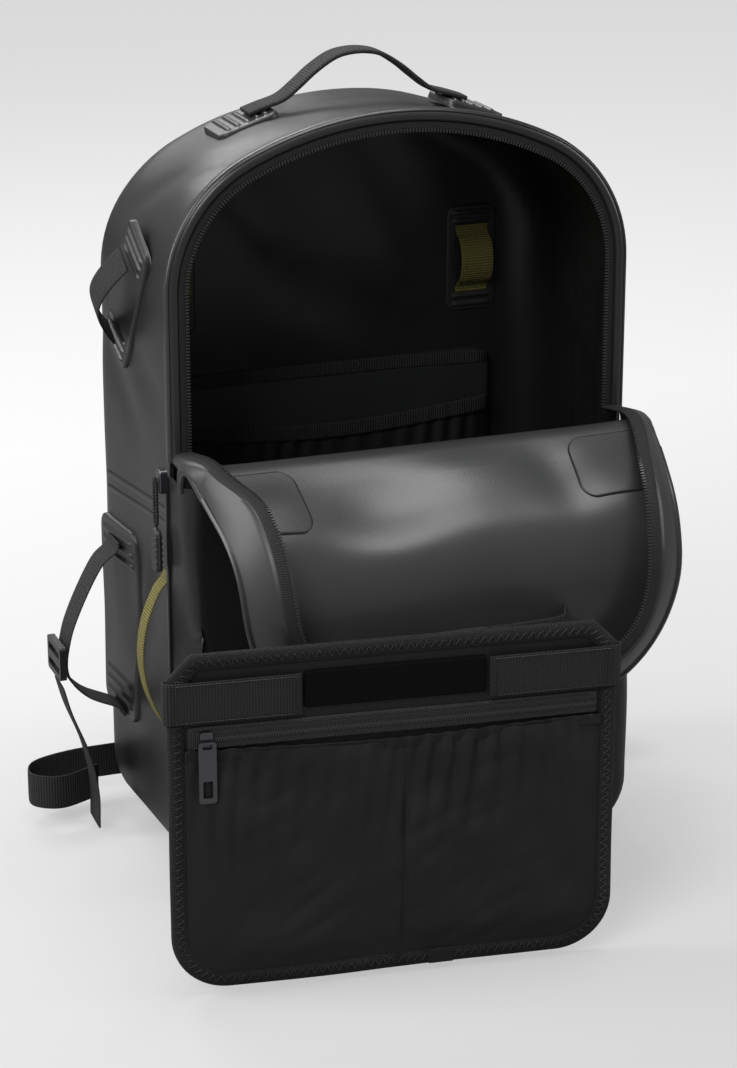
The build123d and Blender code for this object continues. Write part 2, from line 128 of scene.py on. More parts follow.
bpy.ops.mesh.primitive_plane_add(size=40, location=(0, 0, 0))
floor = bpy.context.object
floor.name = "floor"
pale, shader, add, feed = new_material("pale_floor")
shader.inputs["Base Color"].default_value = (0.27, 0.27, 0.27, 1)
shader.inputs["Roughness"].default_value = 0.9
shader.inputs["Specular IOR Level"].default_value = 0.1
seen = add("ShaderNodeLightPath")
depth_parts = add("ShaderNodeSeparateXYZ", _0=add("ShaderNodeTexCoord").outputs["Object"])
haze = add("ShaderNodeMapRange", _0=depth_parts.outputs[1], _1=-0.75, _2=0.9, _3=0.3, _4=0.6)
strength = add("ShaderNodeMath", {"operation": "MULTIPLY"}, _0=seen.outputs["Is Camera Ray"],
               _1=haze.outputs[0])
glow = add("ShaderNodeEmission", {"Color": (1, 1, 1, 1)}, Strength=strength.outputs[0])
both = add("ShaderNodeAddShader", _0=shader.outputs[0], _1=glow.outputs[0])
nodes = pale.node_tree.nodes
pale.node_tree.links.new(both.outputs[0], nodes["Material Output"].inputs["Surface"])
floor.data.materials.append(pale)
world = bpy.data.worlds.new("studio")
bpy.context.scene.world = world
world.use_nodes = True
sky = world.node_tree.nodes["Background"]
sky.inputs["Color"].default_value = (0.9, 0.91, 0.92, 1)
sky.inputs["Strength"].default_value = 0.3
floor.select_set(False)

# Bag body: sides, top and back of coated fabric, welded into one hollow form. Its skin is
# lofted from the opening's arch to the rounded back, slackened, and given its thickness.
MM = 0.001
HALF, APEX, TOP_RADIUS, CORNER_RADIUS, FOOT_RADIUS = 158, 512, 240, 94, 42
RIM_Y, BACK_Y, BACK_EDGE, BACK_SPREAD = -61, 94, 32, 9
BACK_MIDDLE, BODY_WALL = 250, 2.6


def spread(low, high, count):
    """count values from low to just short of high."""
    return [low + (high - low) * i / count for i in range(count)]


def outline(half, apex, top_radius, corner_radius, foot, foot_radius):
    """Closed outline seen from the front, as (x, z), clockwise from the foot's middle."""
    reach = top_radius - corner_radius
    corner_x = half - corner_radius
    turn = math.acos(corner_x / reach)
    top_z = apex - top_radius
    corner_z = top_z + reach * math.sin(turn)
    foot_x, foot_z = half - foot_radius, foot + foot_radius
    left = [(-foot_x * k, foot) for k in spread(0, 1, 7)]
    left += [(-foot_x - foot_radius * math.sin(a), foot_z - foot_radius * math.cos(a))
             for a in spread(0, math.pi / 2, 9)]
    left += [(-half, z) for z in spread(foot_z, corner_z, 34)]
    left += [(-corner_x - corner_radius * math.cos(a), corner_z + corner_radius * math.sin(a))
             for a in spread(0, turn, 16)]
    left += [(-top_radius * math.cos(a), top_z + top_radius * math.sin(a))
             for a in spread(turn, math.pi / 2, 14)]
    right = [(-x, z) for x, z in reversed(left[1:])]
    return left + [(0, apex)] + right


def body_ring(y, inset):
    """The bag's outline at a depth, drawn in by inset."""
    back = (y - RIM_Y) / (BACK_Y - RIM_Y)
    return outline(HALF + BACK_SPREAD * back - inset, APEX - BACK_SPREAD * back - inset,
                   TOP_RADIUS + 10 * back - inset, CORNER_RADIUS + 6 * back - inset, inset,
                   FOOT_RADIUS + 4 * back - inset * 0.9)


def clip(share):
    """A share kept between 0 and 1."""
    return max(0.0, min(1.0, share))


def ease(share):
    """Smooth step from 0 to 1."""
    share = clip(share)
    return share * share * (3 - 2 * share)


def dent(point, centre, radius, depth):
    """How far a soft dent pushes in at point."""
    away = (Vector(point) - Vector(centre)).length / radius
    return depth * math.exp(-away * away)


def crease(point, start, end, width, depth):
    """How far a narrow fold along a line pushes in at point."""
    start, end, point = Vector(start), Vector(end), Vector(point)
    line = end - start
    share = clip((point - start).dot(line) / line.length_squared)
    away = (point - start - line * share).length / width
    return depth * math.exp(-away * away) * math.sin(math.pi * (0.12 + 0.76 * share))


def mesh_piece(name, points, faces, material, smooth=True):
    """A new object from points in millimetres."""
    mesh = bpy.data.meshes.new(name)
    mesh.from_pydata([(p[0] * MM, p[1] * MM, p[2] * MM) for p in points], [], faces)
    mesh.materials.append(material)
    mesh.update()
    made = bpy.data.objects.new(name, mesh)
    bpy.context.scene.collection.objects.link(made)
    if smooth:
        mesh.shade_smooth()
    return made


def quads(rows, columns, wrapped=False):
    """Faces of a grid of points laid out row by row."""
    last = columns if wrapped else columns - 1
    return [(r * columns + c, r * columns + (c + 1) % columns,
             (r + 1) * columns + (c + 1) % columns, (r + 1) * columns + c)
            for r in range(rows - 1) for c in range(last)]


def thicken(made, thickness, offset):
    """Gives an open skin its thickness, in millimetres, and smooths all but its sharp edges."""
    wall = made.modifiers.new("wall", "SOLIDIFY")
    wall.thickness = thickness * MM
    wall.offset = offset
    bpy.context.view_layer.objects.active = made
    made.select_set(True)
    bpy.ops.object.modifier_apply(modifier=wall.name)
    bpy.ops.object.shade_smooth_by_angle(angle=math.radians(50))
    made.select_set(False)


def face_out(made, inside):
    """Turns the normals so that they point away from a point, in millimetres."""
    centre = Vector(inside) * MM
    balance = sum((f.center - centre).dot(f.normal) * f.area for f in made.data.polygons)
    if balance < 0:
        made.data.flip_normals()


def two_tones(add, feed, share, dark, light):
    """Colours a material between two tones."""
    tint = add("ShaderNodeMix", {"data_type": "RGBA"}, _0=share)
    tint.inputs[6].default_value = (*dark, 1)
    tint.inputs[7].default_value = (*light, 1)
    feed("Base Color", tint, 2)


def uneven_gloss(add, feed, share, low, high):
    """Lets a material's roughness wander between two values."""
    feed("Roughness", add("ShaderNodeMapRange", _0=share, _1=0.3, _2=0.7, _3=low, _4=high))


def fine_relief(add, feed, height, strength, depth):
    """Raises a material's fine relief, whose depth is in metres."""
    feed("Normal", add("ShaderNodeBump", {"Strength": strength, "Distance": depth}, Height=height))


def coated(name, colour, rough, grain=900, strength=0.35, cloud=0.25):
    """Matte welded fabric: faint leathery grain, cloudy sheen, softly scuffed."""
    material, shader, add, feed = new_material(name)
    place = add("ShaderNodeTexCoord").outputs["Object"]
    fine = add("ShaderNodeTexNoise", {"Scale": grain, "Detail": 3.0}, Vector=place)
    broad = add("ShaderNodeTexNoise", {"Scale": 9.0, "Detail": 4.0}, Vector=place)
    two_tones(add, feed, broad.outputs["Fac"], [c * (1 - cloud) for c in colour],
              [c * (1 + cloud) for c in colour])
    uneven_gloss(add, feed, broad.outputs["Fac"], low=rough - 0.05, high=rough + 0.07)
    fine_relief(add, feed, fine.outputs["Fac"], strength=strength, depth=0.0003)
    return material


def on_bag(made, slot, *nodes):
    """Fixes a piece to the bag and hides the drawn parts it stands for; slot is not used."""
    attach(made, "bag")
    if nodes:
        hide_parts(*nodes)


shell_fabric = coated("shell_fabric", (0.0125, 0.0126, 0.013), rough=0.36)

DENTS = [((-118, -50, 486), 24, 5), ((-163, -12, 186), 52, 6), ((-150, 30, 470), 40, 3),
         ((60, 10, 510), 60, 3), ((-40, 40, 508), 40, 2), ((163, -5, 200), 55, 5),
         ((150, 20, 460), 45, 3), ((0, 96, 300), 90, 2)]
CREASES = [((-90, 94, 470), (-20, 94, 380), 16, 5), ((10, 94, 450), (60, 94, 350), 20, 5),
           ((-70, 94, 400), (40, 94, 330), 16, -4), ((40, 94, 480), (90, 94, 420), 14, 4),
           ((-110, 94, 380), (-50, 94, 440), 14, -3),
           ((-96, -52, 500), (-150, 40, 440), 9, 3.2), ((-158, -50, 330), (-160, 20, 350), 12, 2.5),
           ((-164, 66, 350), (-160, 0, 300), 12, 2.2), ((-160, -40, 240), (-168, 10, 140), 12, 3.5),
           ((96, -50, 500), (150, 40, 440), 10, 2.6), ((158, -40, 320), (164, 50, 360), 12, 2.4),
           ((-60, -40, 512), (-40, 60, 505), 12, 1.8), ((30, -40, 512), (70, 60, 500), 14, 1.8)]


def slack(point):
    """How far the slack fabric lies inside its drawn form at point."""
    push = sum(dent(point, *one) for one in DENTS) + sum(crease(point, *one) for one in CREASES)
    return push + 1.1 * (0.5 + noise.noise(Vector(point) * 0.016))


def looseness(point):
    """Share of the slack at point: none at the rim and at the foot, where the skin is held."""
    return clip((point[1] - RIM_Y) / 10) * clip((point[2] - 4) / 30)


QUARTER = math.pi / 2
depths = [(y, 0) for y in spread(RIM_Y, BACK_Y - BACK_EDGE, 24)]
depths += [(BACK_Y - BACK_EDGE + BACK_EDGE * math.sin(a), BACK_EDGE * (1 - math.cos(a)))
           for a in spread(0, QUARTER, 9) + [QUARTER]]
rings = [[(x, y, z) for x, z in body_ring(y, inset)] for y, inset in depths]
last_ring = rings[-1]
for k in range(1, 12):
    rings.append([(x * (1 - k / 12), y, BACK_MIDDLE + (z - BACK_MIDDLE) * (1 - k / 12))
                  for x, y, z in last_ring])
columns = len(last_ring)
points = [p for ring in rings for p in ring] + [(0, BACK_Y, BACK_MIDDLE)]
faces = quads(len(rings), columns, wrapped=True)
centre = len(points) - 1
faces += [((len(rings) - 1) * columns + c, (len(rings) - 1) * columns + (c + 1) % columns, centre)
          for c in range(columns)]
bag_shell = mesh_piece("bag_shell", points, faces, shell_fabric)
face_out(bag_shell, (0, 0, BACK_MIDDLE))
for vertex in bag_shell.data.vertices:
    spot = vertex.co / MM
    loose = looseness(spot)
    if spot.y > BACK_Y - 1:
        loose *= ease(math.hypot(spot.x, spot.z - BACK_MIDDLE) / 70)
    if spot.z > 1:
        vertex.co -= vertex.normal * slack(spot) * loose * MM
thicken(bag_shell, thickness=BODY_WALL, offset=-1)
on_bag(bag_shell, "coated_fabric", "upper_wrap", "lower_boot", "back_panel")

# Weld seams on the body: two narrow flat ribbons on each side, where the upper sheet laps over
# the boot. They are the same coated fabric, pressed flat while hot.
seam_fabric = coated("seam_fabric", (0.012, 0.012, 0.0125), rough=0.3, grain=500, strength=0.2)
BOOT_Z, SEAM_GAP, SEAM_FALL = 255, 5, 0.06


def ribbon(name, centres, outs, width, height, material, sides=None):
    """A raised ribbon along centres that stands off along outs; sides is its cross direction."""
    rows = []
    count = len(centres)
    for i in range(count):
        here = Vector(centres[i])
        ahead = Vector(centres[min(i + 1, count - 1)]) - Vector(centres[max(i - 1, 0)])
        out = Vector(outs[i]).normalized()
        side = Vector(sides[i]).normalized() if sides else ahead.cross(out).normalized()
        rows.append([here + side * width * s + out * height * h for s, h in
                     ((-0.5, -0.6), (-0.48, 0.75), (-0.38, 1), (0, 1.05), (0.38, 1), (0.48, 0.75),
                      (0.5, -0.6))])
    flat = [p for row in rows for p in row]
    faces = quads(count, 7)
    return mesh_piece(name, flat, faces, material)


def settle(point, out):
    """A point of the drawn form moved in by the wall's slack."""
    return Vector(point) - Vector(out) * slack(point) * looseness(point)


def half_width(y):
    """Half the body's width at a depth."""
    return HALF + BACK_SPREAD * (y - RIM_Y) / (BACK_Y - RIM_Y)


SIDES = ((-1, "left"), (1, "right"))
for side, label in SIDES:
    for level, step in (("upper", SEAM_GAP), ("lower", -SEAM_GAP)):
        line = []
        for k in range(26):
            y = RIM_Y + 1 + (BACK_Y - BACK_EDGE - RIM_Y) * k / 25
            drop = (y - RIM_Y) * SEAM_FALL
            line.append(settle((side * half_width(y), y, BOOT_Z + step - drop), (side, 0, 0)))
        outs = [(side, 0, 0)] * len(line)
        seam = ribbon(f"boot_seam_{level}_{label}", line, outs, width=4, height=0.7, material=seam_fabric)
        face_out(seam, (0, 0, BOOT_Z))
        thicken(seam, thickness=0.5, offset=-1)
        on_bag(seam, "coated_fabric")

# Rim of the opening: a welded bead of doubled fabric round the arch, the woven zip tape inside
# it and the body's half of the zip. Everything follows the same arch at its own inset.
REACH, CORNER_X, TOP_Z = TOP_RADIUS - CORNER_RADIUS, HALF - CORNER_RADIUS, APEX - TOP_RADIUS
TURN = math.acos(CORNER_X / REACH)
CORNER_Z = TOP_Z + REACH * math.sin(TURN)
FOLD_Y, FOLD_Z = -97, 300


def arch(inset, foot=FOLD_Z, fine=1):
    """The opening's arch from the left foot over the top to the right foot, as (x, z)."""
    corner, top = CORNER_RADIUS - inset, TOP_RADIUS - inset
    side = [(-CORNER_X - corner, z) for z in spread(foot, CORNER_Z, 20 * fine)]
    side += [(-CORNER_X - corner * math.cos(a), CORNER_Z + corner * math.sin(a))
             for a in spread(0, TURN, 18 * fine)]
    side += [(-top * math.cos(a), TOP_Z + top * math.sin(a))
             for a in spread(TURN, math.pi / 2, 20 * fine)]
    return side + [(0, TOP_Z + top)] + [(-x, z) for x, z in reversed(side)]


def swept_rim(name, profile, foot, material):
    """A section given as (inset, y) carried round the arch."""
    flat = [(x, y, z) for inset, y in profile for x, z in arch(inset, foot)]
    return mesh_piece(name, flat, quads(len(profile), len(arch(0, foot))), material)


BEAD = [(-0.6, -56), (-1.2, -60), (-0.9, -62.6), (0.6, -63.6), (1.1, -63.1), (2, -64.1), (4.2, -64.6),
        (6.2, -64.1), (7, -63.1), (7.3, -61.6)]
bead_fabric = coated("bead_fabric", (0.022, 0.022, 0.023), rough=0.28, grain=600, strength=0.15)
rim_bead = swept_rim("rim_bead", BEAD, 296, bead_fabric)
thicken(rim_bead, thickness=1.2, offset=-1 if rim_bead.data.polygons[0].normal.x < 0 else 1)
on_bag(rim_bead, "welded_patch", "rim_band")


def woven(name, colour, pitch, rough=0.75, relief=0.5):
    """Woven tape: ribs across its length and fine yarns, laid out on the piece's own UV map."""
    material, shader, add, feed = new_material(name)
    place = add("ShaderNodeUVMap", {"uv_map": "weave"}).outputs[0]
    parts = add("ShaderNodeSeparateXYZ", _0=place)

    def maths(operation, *values):
        """One step of arithmetic on sockets or numbers."""
        links = {f"_{k}": value for k, value in enumerate(values)}
        return add("ShaderNodeMath", {"operation": operation}, **links).outputs[0]

    along = maths("SINE", maths("MULTIPLY", parts.outputs[0], 2 * math.pi / pitch))
    across = maths("SINE", maths("MULTIPLY", parts.outputs[1], 2 * math.pi / (pitch * 0.75)))
    fuzz = add("ShaderNodeTexNoise", {"Scale": 2600.0, "Detail": 2.0}, Vector=place)
    height = maths("ADD", maths("MULTIPLY_ADD", across, 0.35, along), fuzz.outputs["Fac"])
    shade = add("ShaderNodeMapRange", _0=height, _1=-1.0, _2=2.0)
    two_tones(add, feed, shade.outputs[0], [c * 0.55 for c in colour], [c * 1.35 for c in colour])
    shader.inputs["Roughness"].default_value = rough
    shader.inputs["Specular IOR Level"].default_value = 0.35
    fine_relief(add, feed, height, strength=relief, depth=0.0004)
    return material


def lay_weave(made, lengthways, sideways):
    """Writes the weave's UV map: metres along and across, one value for each vertex."""
    layer = made.data.uv_layers.new(name="weave")
    for loop in made.data.loops:
        layer.data[loop.index].uv = (lengthways[loop.vertex_index], sideways[loop.vertex_index])


tape_cloth = woven("tape_cloth", (0.014, 0.014, 0.015), pitch=0.0011, rough=0.7, relief=0.3)


def grid_weave(made, rows, columns, step_u, step_v):
    """Weave map of a plain grid whose columns run along and rows across."""
    count = len(made.data.vertices)
    lay_weave(made, [(i % columns) * step_u for i in range(count)],
              [(i // columns) * step_v for i in range(count)])


TAPE = [(7.3, -61.4), (7.8, -62.2), (9.5, -62.4), (11.9, -62.3), (12.2, -61.4)]
rim_cloth = swept_rim("rim_zip_tape", TAPE, 297, tape_cloth)
grid_weave(rim_cloth, len(TAPE), len(arch(0)), step_u=0.0052, step_v=0.0012)
thicken(rim_cloth, thickness=0.8, offset=-1 if rim_cloth.data.polygons[0].normal.x < 0 else 1)
on_bag(rim_cloth, "zip_tape", "rim_tape")

teeth_plastic, shader, add, feed = new_material("teeth_plastic")
shader.inputs["Base Color"].default_value = (0.035, 0.035, 0.037, 1)
place = add("ShaderNodeTexCoord").outputs["Object"]
grit = add("ShaderNodeTexNoise", {"Scale": 400.0}, Vector=place)
uneven_gloss(add, feed, grit.outputs["Fac"], low=0.22, high=0.4)
TOOTH, TOOTH_PITCH = (1.25, 1.7), 2.1


def teeth_row(name, roots, tips, size, pitch, material):
    """Separate zip teeth between two matching lines: small tapered blocks of a width and height."""
    roots, tips = [Vector(p) for p in roots], [Vector(p) for p in tips]
    block = [(-1, 0, -1), (1, 0, -1), (1, 0, 1), (-1, 0, 1), (-0.6, 1, -0.7), (0.6, 1, -0.7),
             (0.6, 1, 0.7), (-0.6, 1, 0.7)]
    points, faces, walked, target = [], [], 0.0, pitch / 2
    for i in range(len(roots) - 1):
        length = (roots[i + 1] - roots[i]).length
        while length > 0 and target <= walked + length:
            share = (target - walked) / length
            root = roots[i].lerp(roots[i + 1], share)
            reach = tips[i].lerp(tips[i + 1], share) - root
            ahead = (roots[i + 1] - roots[i]).normalized()
            up = ahead.cross(reach).normalized()
            first = len(points)
            points += [root + ahead * a * size[0] / 2 + reach * b + up * c * size[1] / 2
                       for a, b, c in block]
            faces += [tuple(first + q for q in quad) for quad in
                      ((0, 1, 2, 3), (4, 7, 6, 5), (0, 4, 5, 1), (1, 5, 6, 2), (2, 6, 7, 3), (3, 7, 4, 0))]
            target += pitch
        walked += length
    made = mesh_piece(name, points, faces, material, smooth=False)
    first_faces = made.data.polygons[:6]
    middle = sum((f.center for f in first_faces), Vector()) / 6
    if sum(f.normal.dot(f.center - middle) for f in first_faces) < 0:
        made.data.flip_normals()
    return made


tooth_roots, tooth_tips = [[(x, -62.4, z) for x, z in arch(inset, FOLD_Z, 3)] for inset in (12, 14.5)]
rim_teeth = teeth_row("rim_zip_teeth", tooth_roots, tooth_tips, size=TOOTH, pitch=TOOTH_PITCH,
                      material=teeth_plastic)
on_bag(rim_teeth, "zip_teeth", "rim_teeth")

# Lower front panel: a shallow tray welded to the front of the boot, with rounded edges and a
# bead along the weld. Its top edge runs on into the fold of the flap.
FRONT_Y, FRONT_HALF, FRONT_TOP, FRONT_EDGE, FRONT_MIDDLE = -94, 160, 287, 14, 150


def front_ring(inset):
    """U-shaped line down the left side, across the foot and up the right, as (x, z)."""
    half = FRONT_HALF - inset
    radius = min(max(FOOT_RADIUS - inset, 5), half)
    foot = min(inset, FRONT_MIDDLE)
    left = [(-half, z) for z in spread(FRONT_TOP, foot + radius, 34)]
    left += [(-half + radius - radius * math.cos(a), foot + radius - radius * math.sin(a))
             for a in spread(0, math.pi / 2, 10)]
    left += [(-(half - radius) * (1 - k), foot) for k in spread(0, 1, 10)]
    return left + [(0, foot)] + [(-x, z) for x, z in reversed(left)]


def edit_whole(made, operator, **settings):
    """Runs one of edit mode's operators on everything in a piece."""
    bpy.context.view_layer.objects.active = made
    made.select_set(True)
    bpy.ops.object.mode_set(mode="EDIT")
    bpy.ops.mesh.select_all(action="SELECT")
    operator(**settings)
    bpy.ops.object.mode_set(mode="OBJECT")
    made.select_set(False)


front_rows = [(0, -61.4), (0, -67), (0, -73), (0, FRONT_Y + FRONT_EDGE)]
front_rows += [(FRONT_EDGE * (1 - math.cos(a)), FRONT_Y + FRONT_EDGE * (1 - math.sin(a)))
               for a in spread(0, QUARTER, 6)[1:] + [QUARTER]]
front_rows += [(FRONT_EDGE + (FRONT_HALF - FRONT_EDGE) * k / 18, FRONT_Y) for k in range(1, 19)]
flat = [(x, y, z) for inset, y in front_rows for x, z in front_ring(inset)]
front_skin = mesh_piece("front_skin", flat, quads(len(front_rows), len(front_ring(0))), shell_fabric)
edit_whole(front_skin, bpy.ops.mesh.remove_doubles, threshold=0.8 * MM)
face_out(front_skin, (0, -40, FRONT_MIDDLE))
for vertex in front_skin.data.vertices:
    spot = vertex.co / MM
    loose = clip((-63 - spot.y) / 8) * clip((spot.z - 3) / 25) * clip((FRONT_TOP - spot.z) / 18)
    push = 2.2 * (0.5 + noise.noise(Vector(spot) * 0.02)) + dent(spot, (-160, -84, 178), 18, 5)
    push += crease(spot, (-158, -80, 250), (-156, -92, 130), width=7, depth=2.6)
    push += crease(spot, (-120, -94, 270), (-40, -94, 120), width=14, depth=3)
    if spot.z > 1:
        vertex.co -= vertex.normal * push * loose * MM
thicken(front_skin, thickness=2.2, offset=-1)
on_bag(front_skin, "coated_fabric", "front_panel")

bead_line = [(x, -61.5, z) for x, z in front_ring(-0.4)]
outward = [(x, 0, z - FRONT_MIDDLE if z < 60 else 0) for x, y, z in bead_line]
front_bead = ribbon("front_bead", bead_line, outward, width=5, height=1.1, material=seam_fabric,
                    sides=[(0, 1, 0)] * len(bead_line))
face_out(front_bead, (0, -60, FRONT_MIDDLE))
for vertex in front_bead.data.vertices:
    vertex.co.z = max(vertex.co.z, 0.6 * MM)
thicken(front_bead, thickness=0.5, offset=-1)
on_bag(front_bead, "coated_fabric")

# The flap's own bending line, shared by everything on it: up the front panel, over a soft roll
# at the fold, out at a gentle slope and down in a droop past the organizer's hook line.
ROLL_START, ROLL_END = -15, 13
DROOP_START, DROOP_END = 52, 128
FLAP_SLOPE, TIP_SLOPE = math.radians(27), math.radians(86)


def slope_at(v):
    """Downward slope of the flap at a distance v past the fold."""
    rolled = ease((v - ROLL_START) / (ROLL_END - ROLL_START))
    drooped = ease((v - DROOP_START) / (DROOP_END - DROOP_START))
    return -math.pi / 2 + (math.pi / 2 + FLAP_SLOPE) * rolled + (TIP_SLOPE - FLAP_SLOPE) * drooped


V_LOW, V_FLAT, V_HIGH = -30, 32, 230
bend_line = {V_FLAT: (FOLD_Y - V_FLAT * math.cos(FLAP_SLOPE), FOLD_Z - V_FLAT * math.sin(FLAP_SLOPE))}
for stop, step in ((V_HIGH, 1), (V_LOW, -1)):
    for v in range(V_FLAT, stop, step):
        y, z = bend_line[v]
        slope = slope_at(v + step / 2)
        bend_line[v + step] = (y - math.cos(slope) * step, z - math.sin(slope) * step)


def on_flap(x, v, depth):
    """Point of the open flap: x across, v past the fold, depth in from the fold's plane."""
    v = max(V_LOW, min(V_HIGH - 1, v))
    low = math.floor(v)
    x -= ease(v / 115) * (3 + 11 * x / 158)
    y0, z0 = bend_line[low]
    y1, z1 = bend_line[low + 1]
    part = v - low
    slope = slope_at(v)
    return Vector((x, y0 + (y1 - y0) * part - math.sin(slope) * depth,
                   z0 + (z1 - z0) * part + math.cos(slope) * depth))


# Fold and flap skin: one sheet of coated fabric from the front panel's top edge over the roll,
# its inner face up. It's made in two lengths that meet on the flat stretch past the roll.
inner_fabric = coated("flap_inner_fabric", (0.036, 0.0365, 0.0375), rough=0.31, grain=700, strength=0.25,
                      cloud=0.12)
SEAM_V, SKIN_DEPTH, SKIN_INSET, SKIN_WALL = 30, 4.5, 0.5, 1.8


def half_at(v):
    """Half the flap's width at a distance past the fold."""
    z = FOLD_Z + v
    if z < CORNER_Z:
        return HALF - SKIN_INSET
    if z < TOP_Z + TOP_RADIUS * math.sin(TURN):
        return CORNER_X + math.sqrt((CORNER_RADIUS - SKIN_INSET) ** 2 - (z - CORNER_Z) ** 2)
    return math.sqrt(max(0, (TOP_RADIUS - SKIN_INSET) ** 2 - (z - TOP_Z) ** 2))


def skin_depth(x, v):
    """Depth of the flap's inner face, with its soft waves."""
    share = min(1, abs(x) / max(1, half_at(v)))
    wave = 2.6 * noise.noise(Vector((x * 0.012, v * 0.02, 3.1)))
    wave += 1.3 * math.sin(x * 0.045 + v * 0.03) * ease(v / 60)
    wave -= 4.5 * math.exp(-((x + 30) / 60) ** 2 - ((v - 66) / 34) ** 2)
    wave -= 2.2 * math.exp(-((x - 70 - v * 0.3) / 18) ** 2 - ((v - 50) / 44) ** 2)
    edge_lift = 2 * share ** 8 * ease((v + 16) / 20)
    return SKIN_DEPTH + wave * ease((v + 4) / 40) * (1 - share ** 5) + edge_lift


def skin_piece(name, rows):
    """The flap's skin over a list of distances past the fold."""
    flat = []
    for v in rows:
        for k in range(61):
            x = math.sin(math.pi / 2 * (-1 + 2 * k / 60)) * half_at(v)
            flat.append(on_flap(x, v, skin_depth(x, v)))
    made = mesh_piece(name, flat, quads(len(rows), 61), inner_fabric)
    thicken(made, thickness=SKIN_WALL, offset=0)
    return made


fold_from, fold_to = on_flap(0, -12, 4) * MM, on_flap(0, 12, 4) * MM
droop_from, droop_to = on_flap(0, DROOP_START, 0) * MM, on_flap(0, DROOP_END, 0) * MM
ROLL_LOW, ROLL_LONG, SKIN_LONG = -16, 46.3, 181.4
fold_roll = skin_piece("fold_roll", [ROLL_LOW + ROLL_LONG * k / 34 for k in range(35)])
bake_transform(fold_roll)
flap_skin = skin_piece("flap_skin", [SEAM_V + SKIN_LONG * math.sin(QUARTER * k / 60) for k in range(61)])
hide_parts("flap_face", "tip_face")
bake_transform(flap_skin)

# Flap gusset: the side wall that closes the bag round the zip. It's a strip of glossier fabric
# welded to the flap's edge with a bead, leaning in a little, more on the right where it curls.
# At the fold it gathers down to the end of the body's zip.
gusset_fabric = coated("gusset_fabric", (0.026, 0.0265, 0.028), rough=0.35, grain=500, strength=0.15,
                       cloud=0.15)
GUSSET, GATHER_V, BELOW_FOLD = 29, 22, 15
EDGE_0, EDGE_1 = [arch(inset, FOLD_Z - BELOW_FOLD, 3) for inset in (0, 1)]
EDGE_COUNT = len(EDGE_0)
LEFT_END, LEFT_SEAM = [next(i for i in range(EDGE_COUNT) if EDGE_0[i][1] - FOLD_Z >= v)
                       for v in (GATHER_V, SEAM_V)]
RIGHT_END, RIGHT_SEAM = EDGE_COUNT - 1 - LEFT_END, EDGE_COUNT - 1 - LEFT_SEAM


def edge_spot(i, inset, depth):
    """Point of the flap at an inset from its edge, at one of the edge's steps."""
    x = EDGE_0[i][0] + (EDGE_1[i][0] - EDGE_0[i][0]) * inset
    z = EDGE_0[i][1] + (EDGE_1[i][1] - EDGE_0[i][1]) * inset
    return on_flap(x, z - FOLD_Z, depth)


def gusset_spot(i, up, extra=0.0, lift=0.0):
    """Point of the gusset at a share of its height, or past its top by extra and lift."""
    past = max(GATHER_V, EDGE_0[i][1] - FOLD_Z)
    lean = math.radians(22 + 10 * ease((i / EDGE_COUNT - 0.5) / 0.3) + 16 * ease((past - 20) / 90))
    tall = GUSSET * (0.5 + 0.5 * ease((past - 10) / 60))
    inward, high = tall * math.sin(lean), tall * math.cos(lean)
    belly = 0.9 * math.sin(math.pi * up) + 0.7 * math.sin(i * 0.13) * up
    if LEFT_END <= i <= RIGHT_END:
        return edge_spot(i, 0.5 + inward * up - belly * math.cos(lean) + extra,
                         4 + high * up + belly * math.sin(lean) + lift)
    side, near, step = (-1, LEFT_END, 1) if i < LEFT_END else (1, RIGHT_END, -1)
    share = (EDGE_0[i][1] - FOLD_Z + BELOW_FOLD) / (GATHER_V + BELOW_FOLD)
    arrive = gusset_spot(near, 1, extra, lift)
    ahead = (gusset_spot(near + step * 3, 1, extra, lift) - arrive).normalized()
    leave = Vector((side * (154.5 - extra), RIM_Y, 300.5 + lift))
    pull_out, pull_in = leave + Vector((0, -26, 4)), arrive - ahead * 24
    back = 1 - share
    crown = (leave * back ** 3 + pull_out * 3 * back * back * share
             + pull_in * 3 * back * share * share + arrive * share ** 3)
    spot = edge_spot(i, 0.5, 4).lerp(crown, up)
    spot.x += side * (4.5 * math.sin(math.pi * up) * math.sin(math.pi * share)
                      + 1.6 * math.sin(up * 9) * back)
    return spot


def gusset_strip(name, rows, first, last, material):
    """One strip of the gusset; rows are (share up, extra, lift) and run along the edge."""
    columns = last - first + 1
    flat = [gusset_spot(first + c, *row) for row in rows for c in range(columns)]
    return mesh_piece(name, flat, quads(len(rows), columns), material)


def bend_with(made, label):
    """Bakes a strip's placement into its mesh, whether it lies at the fold or past it."""
    if label == "flap":
        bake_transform(made)
    else:
        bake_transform(made)


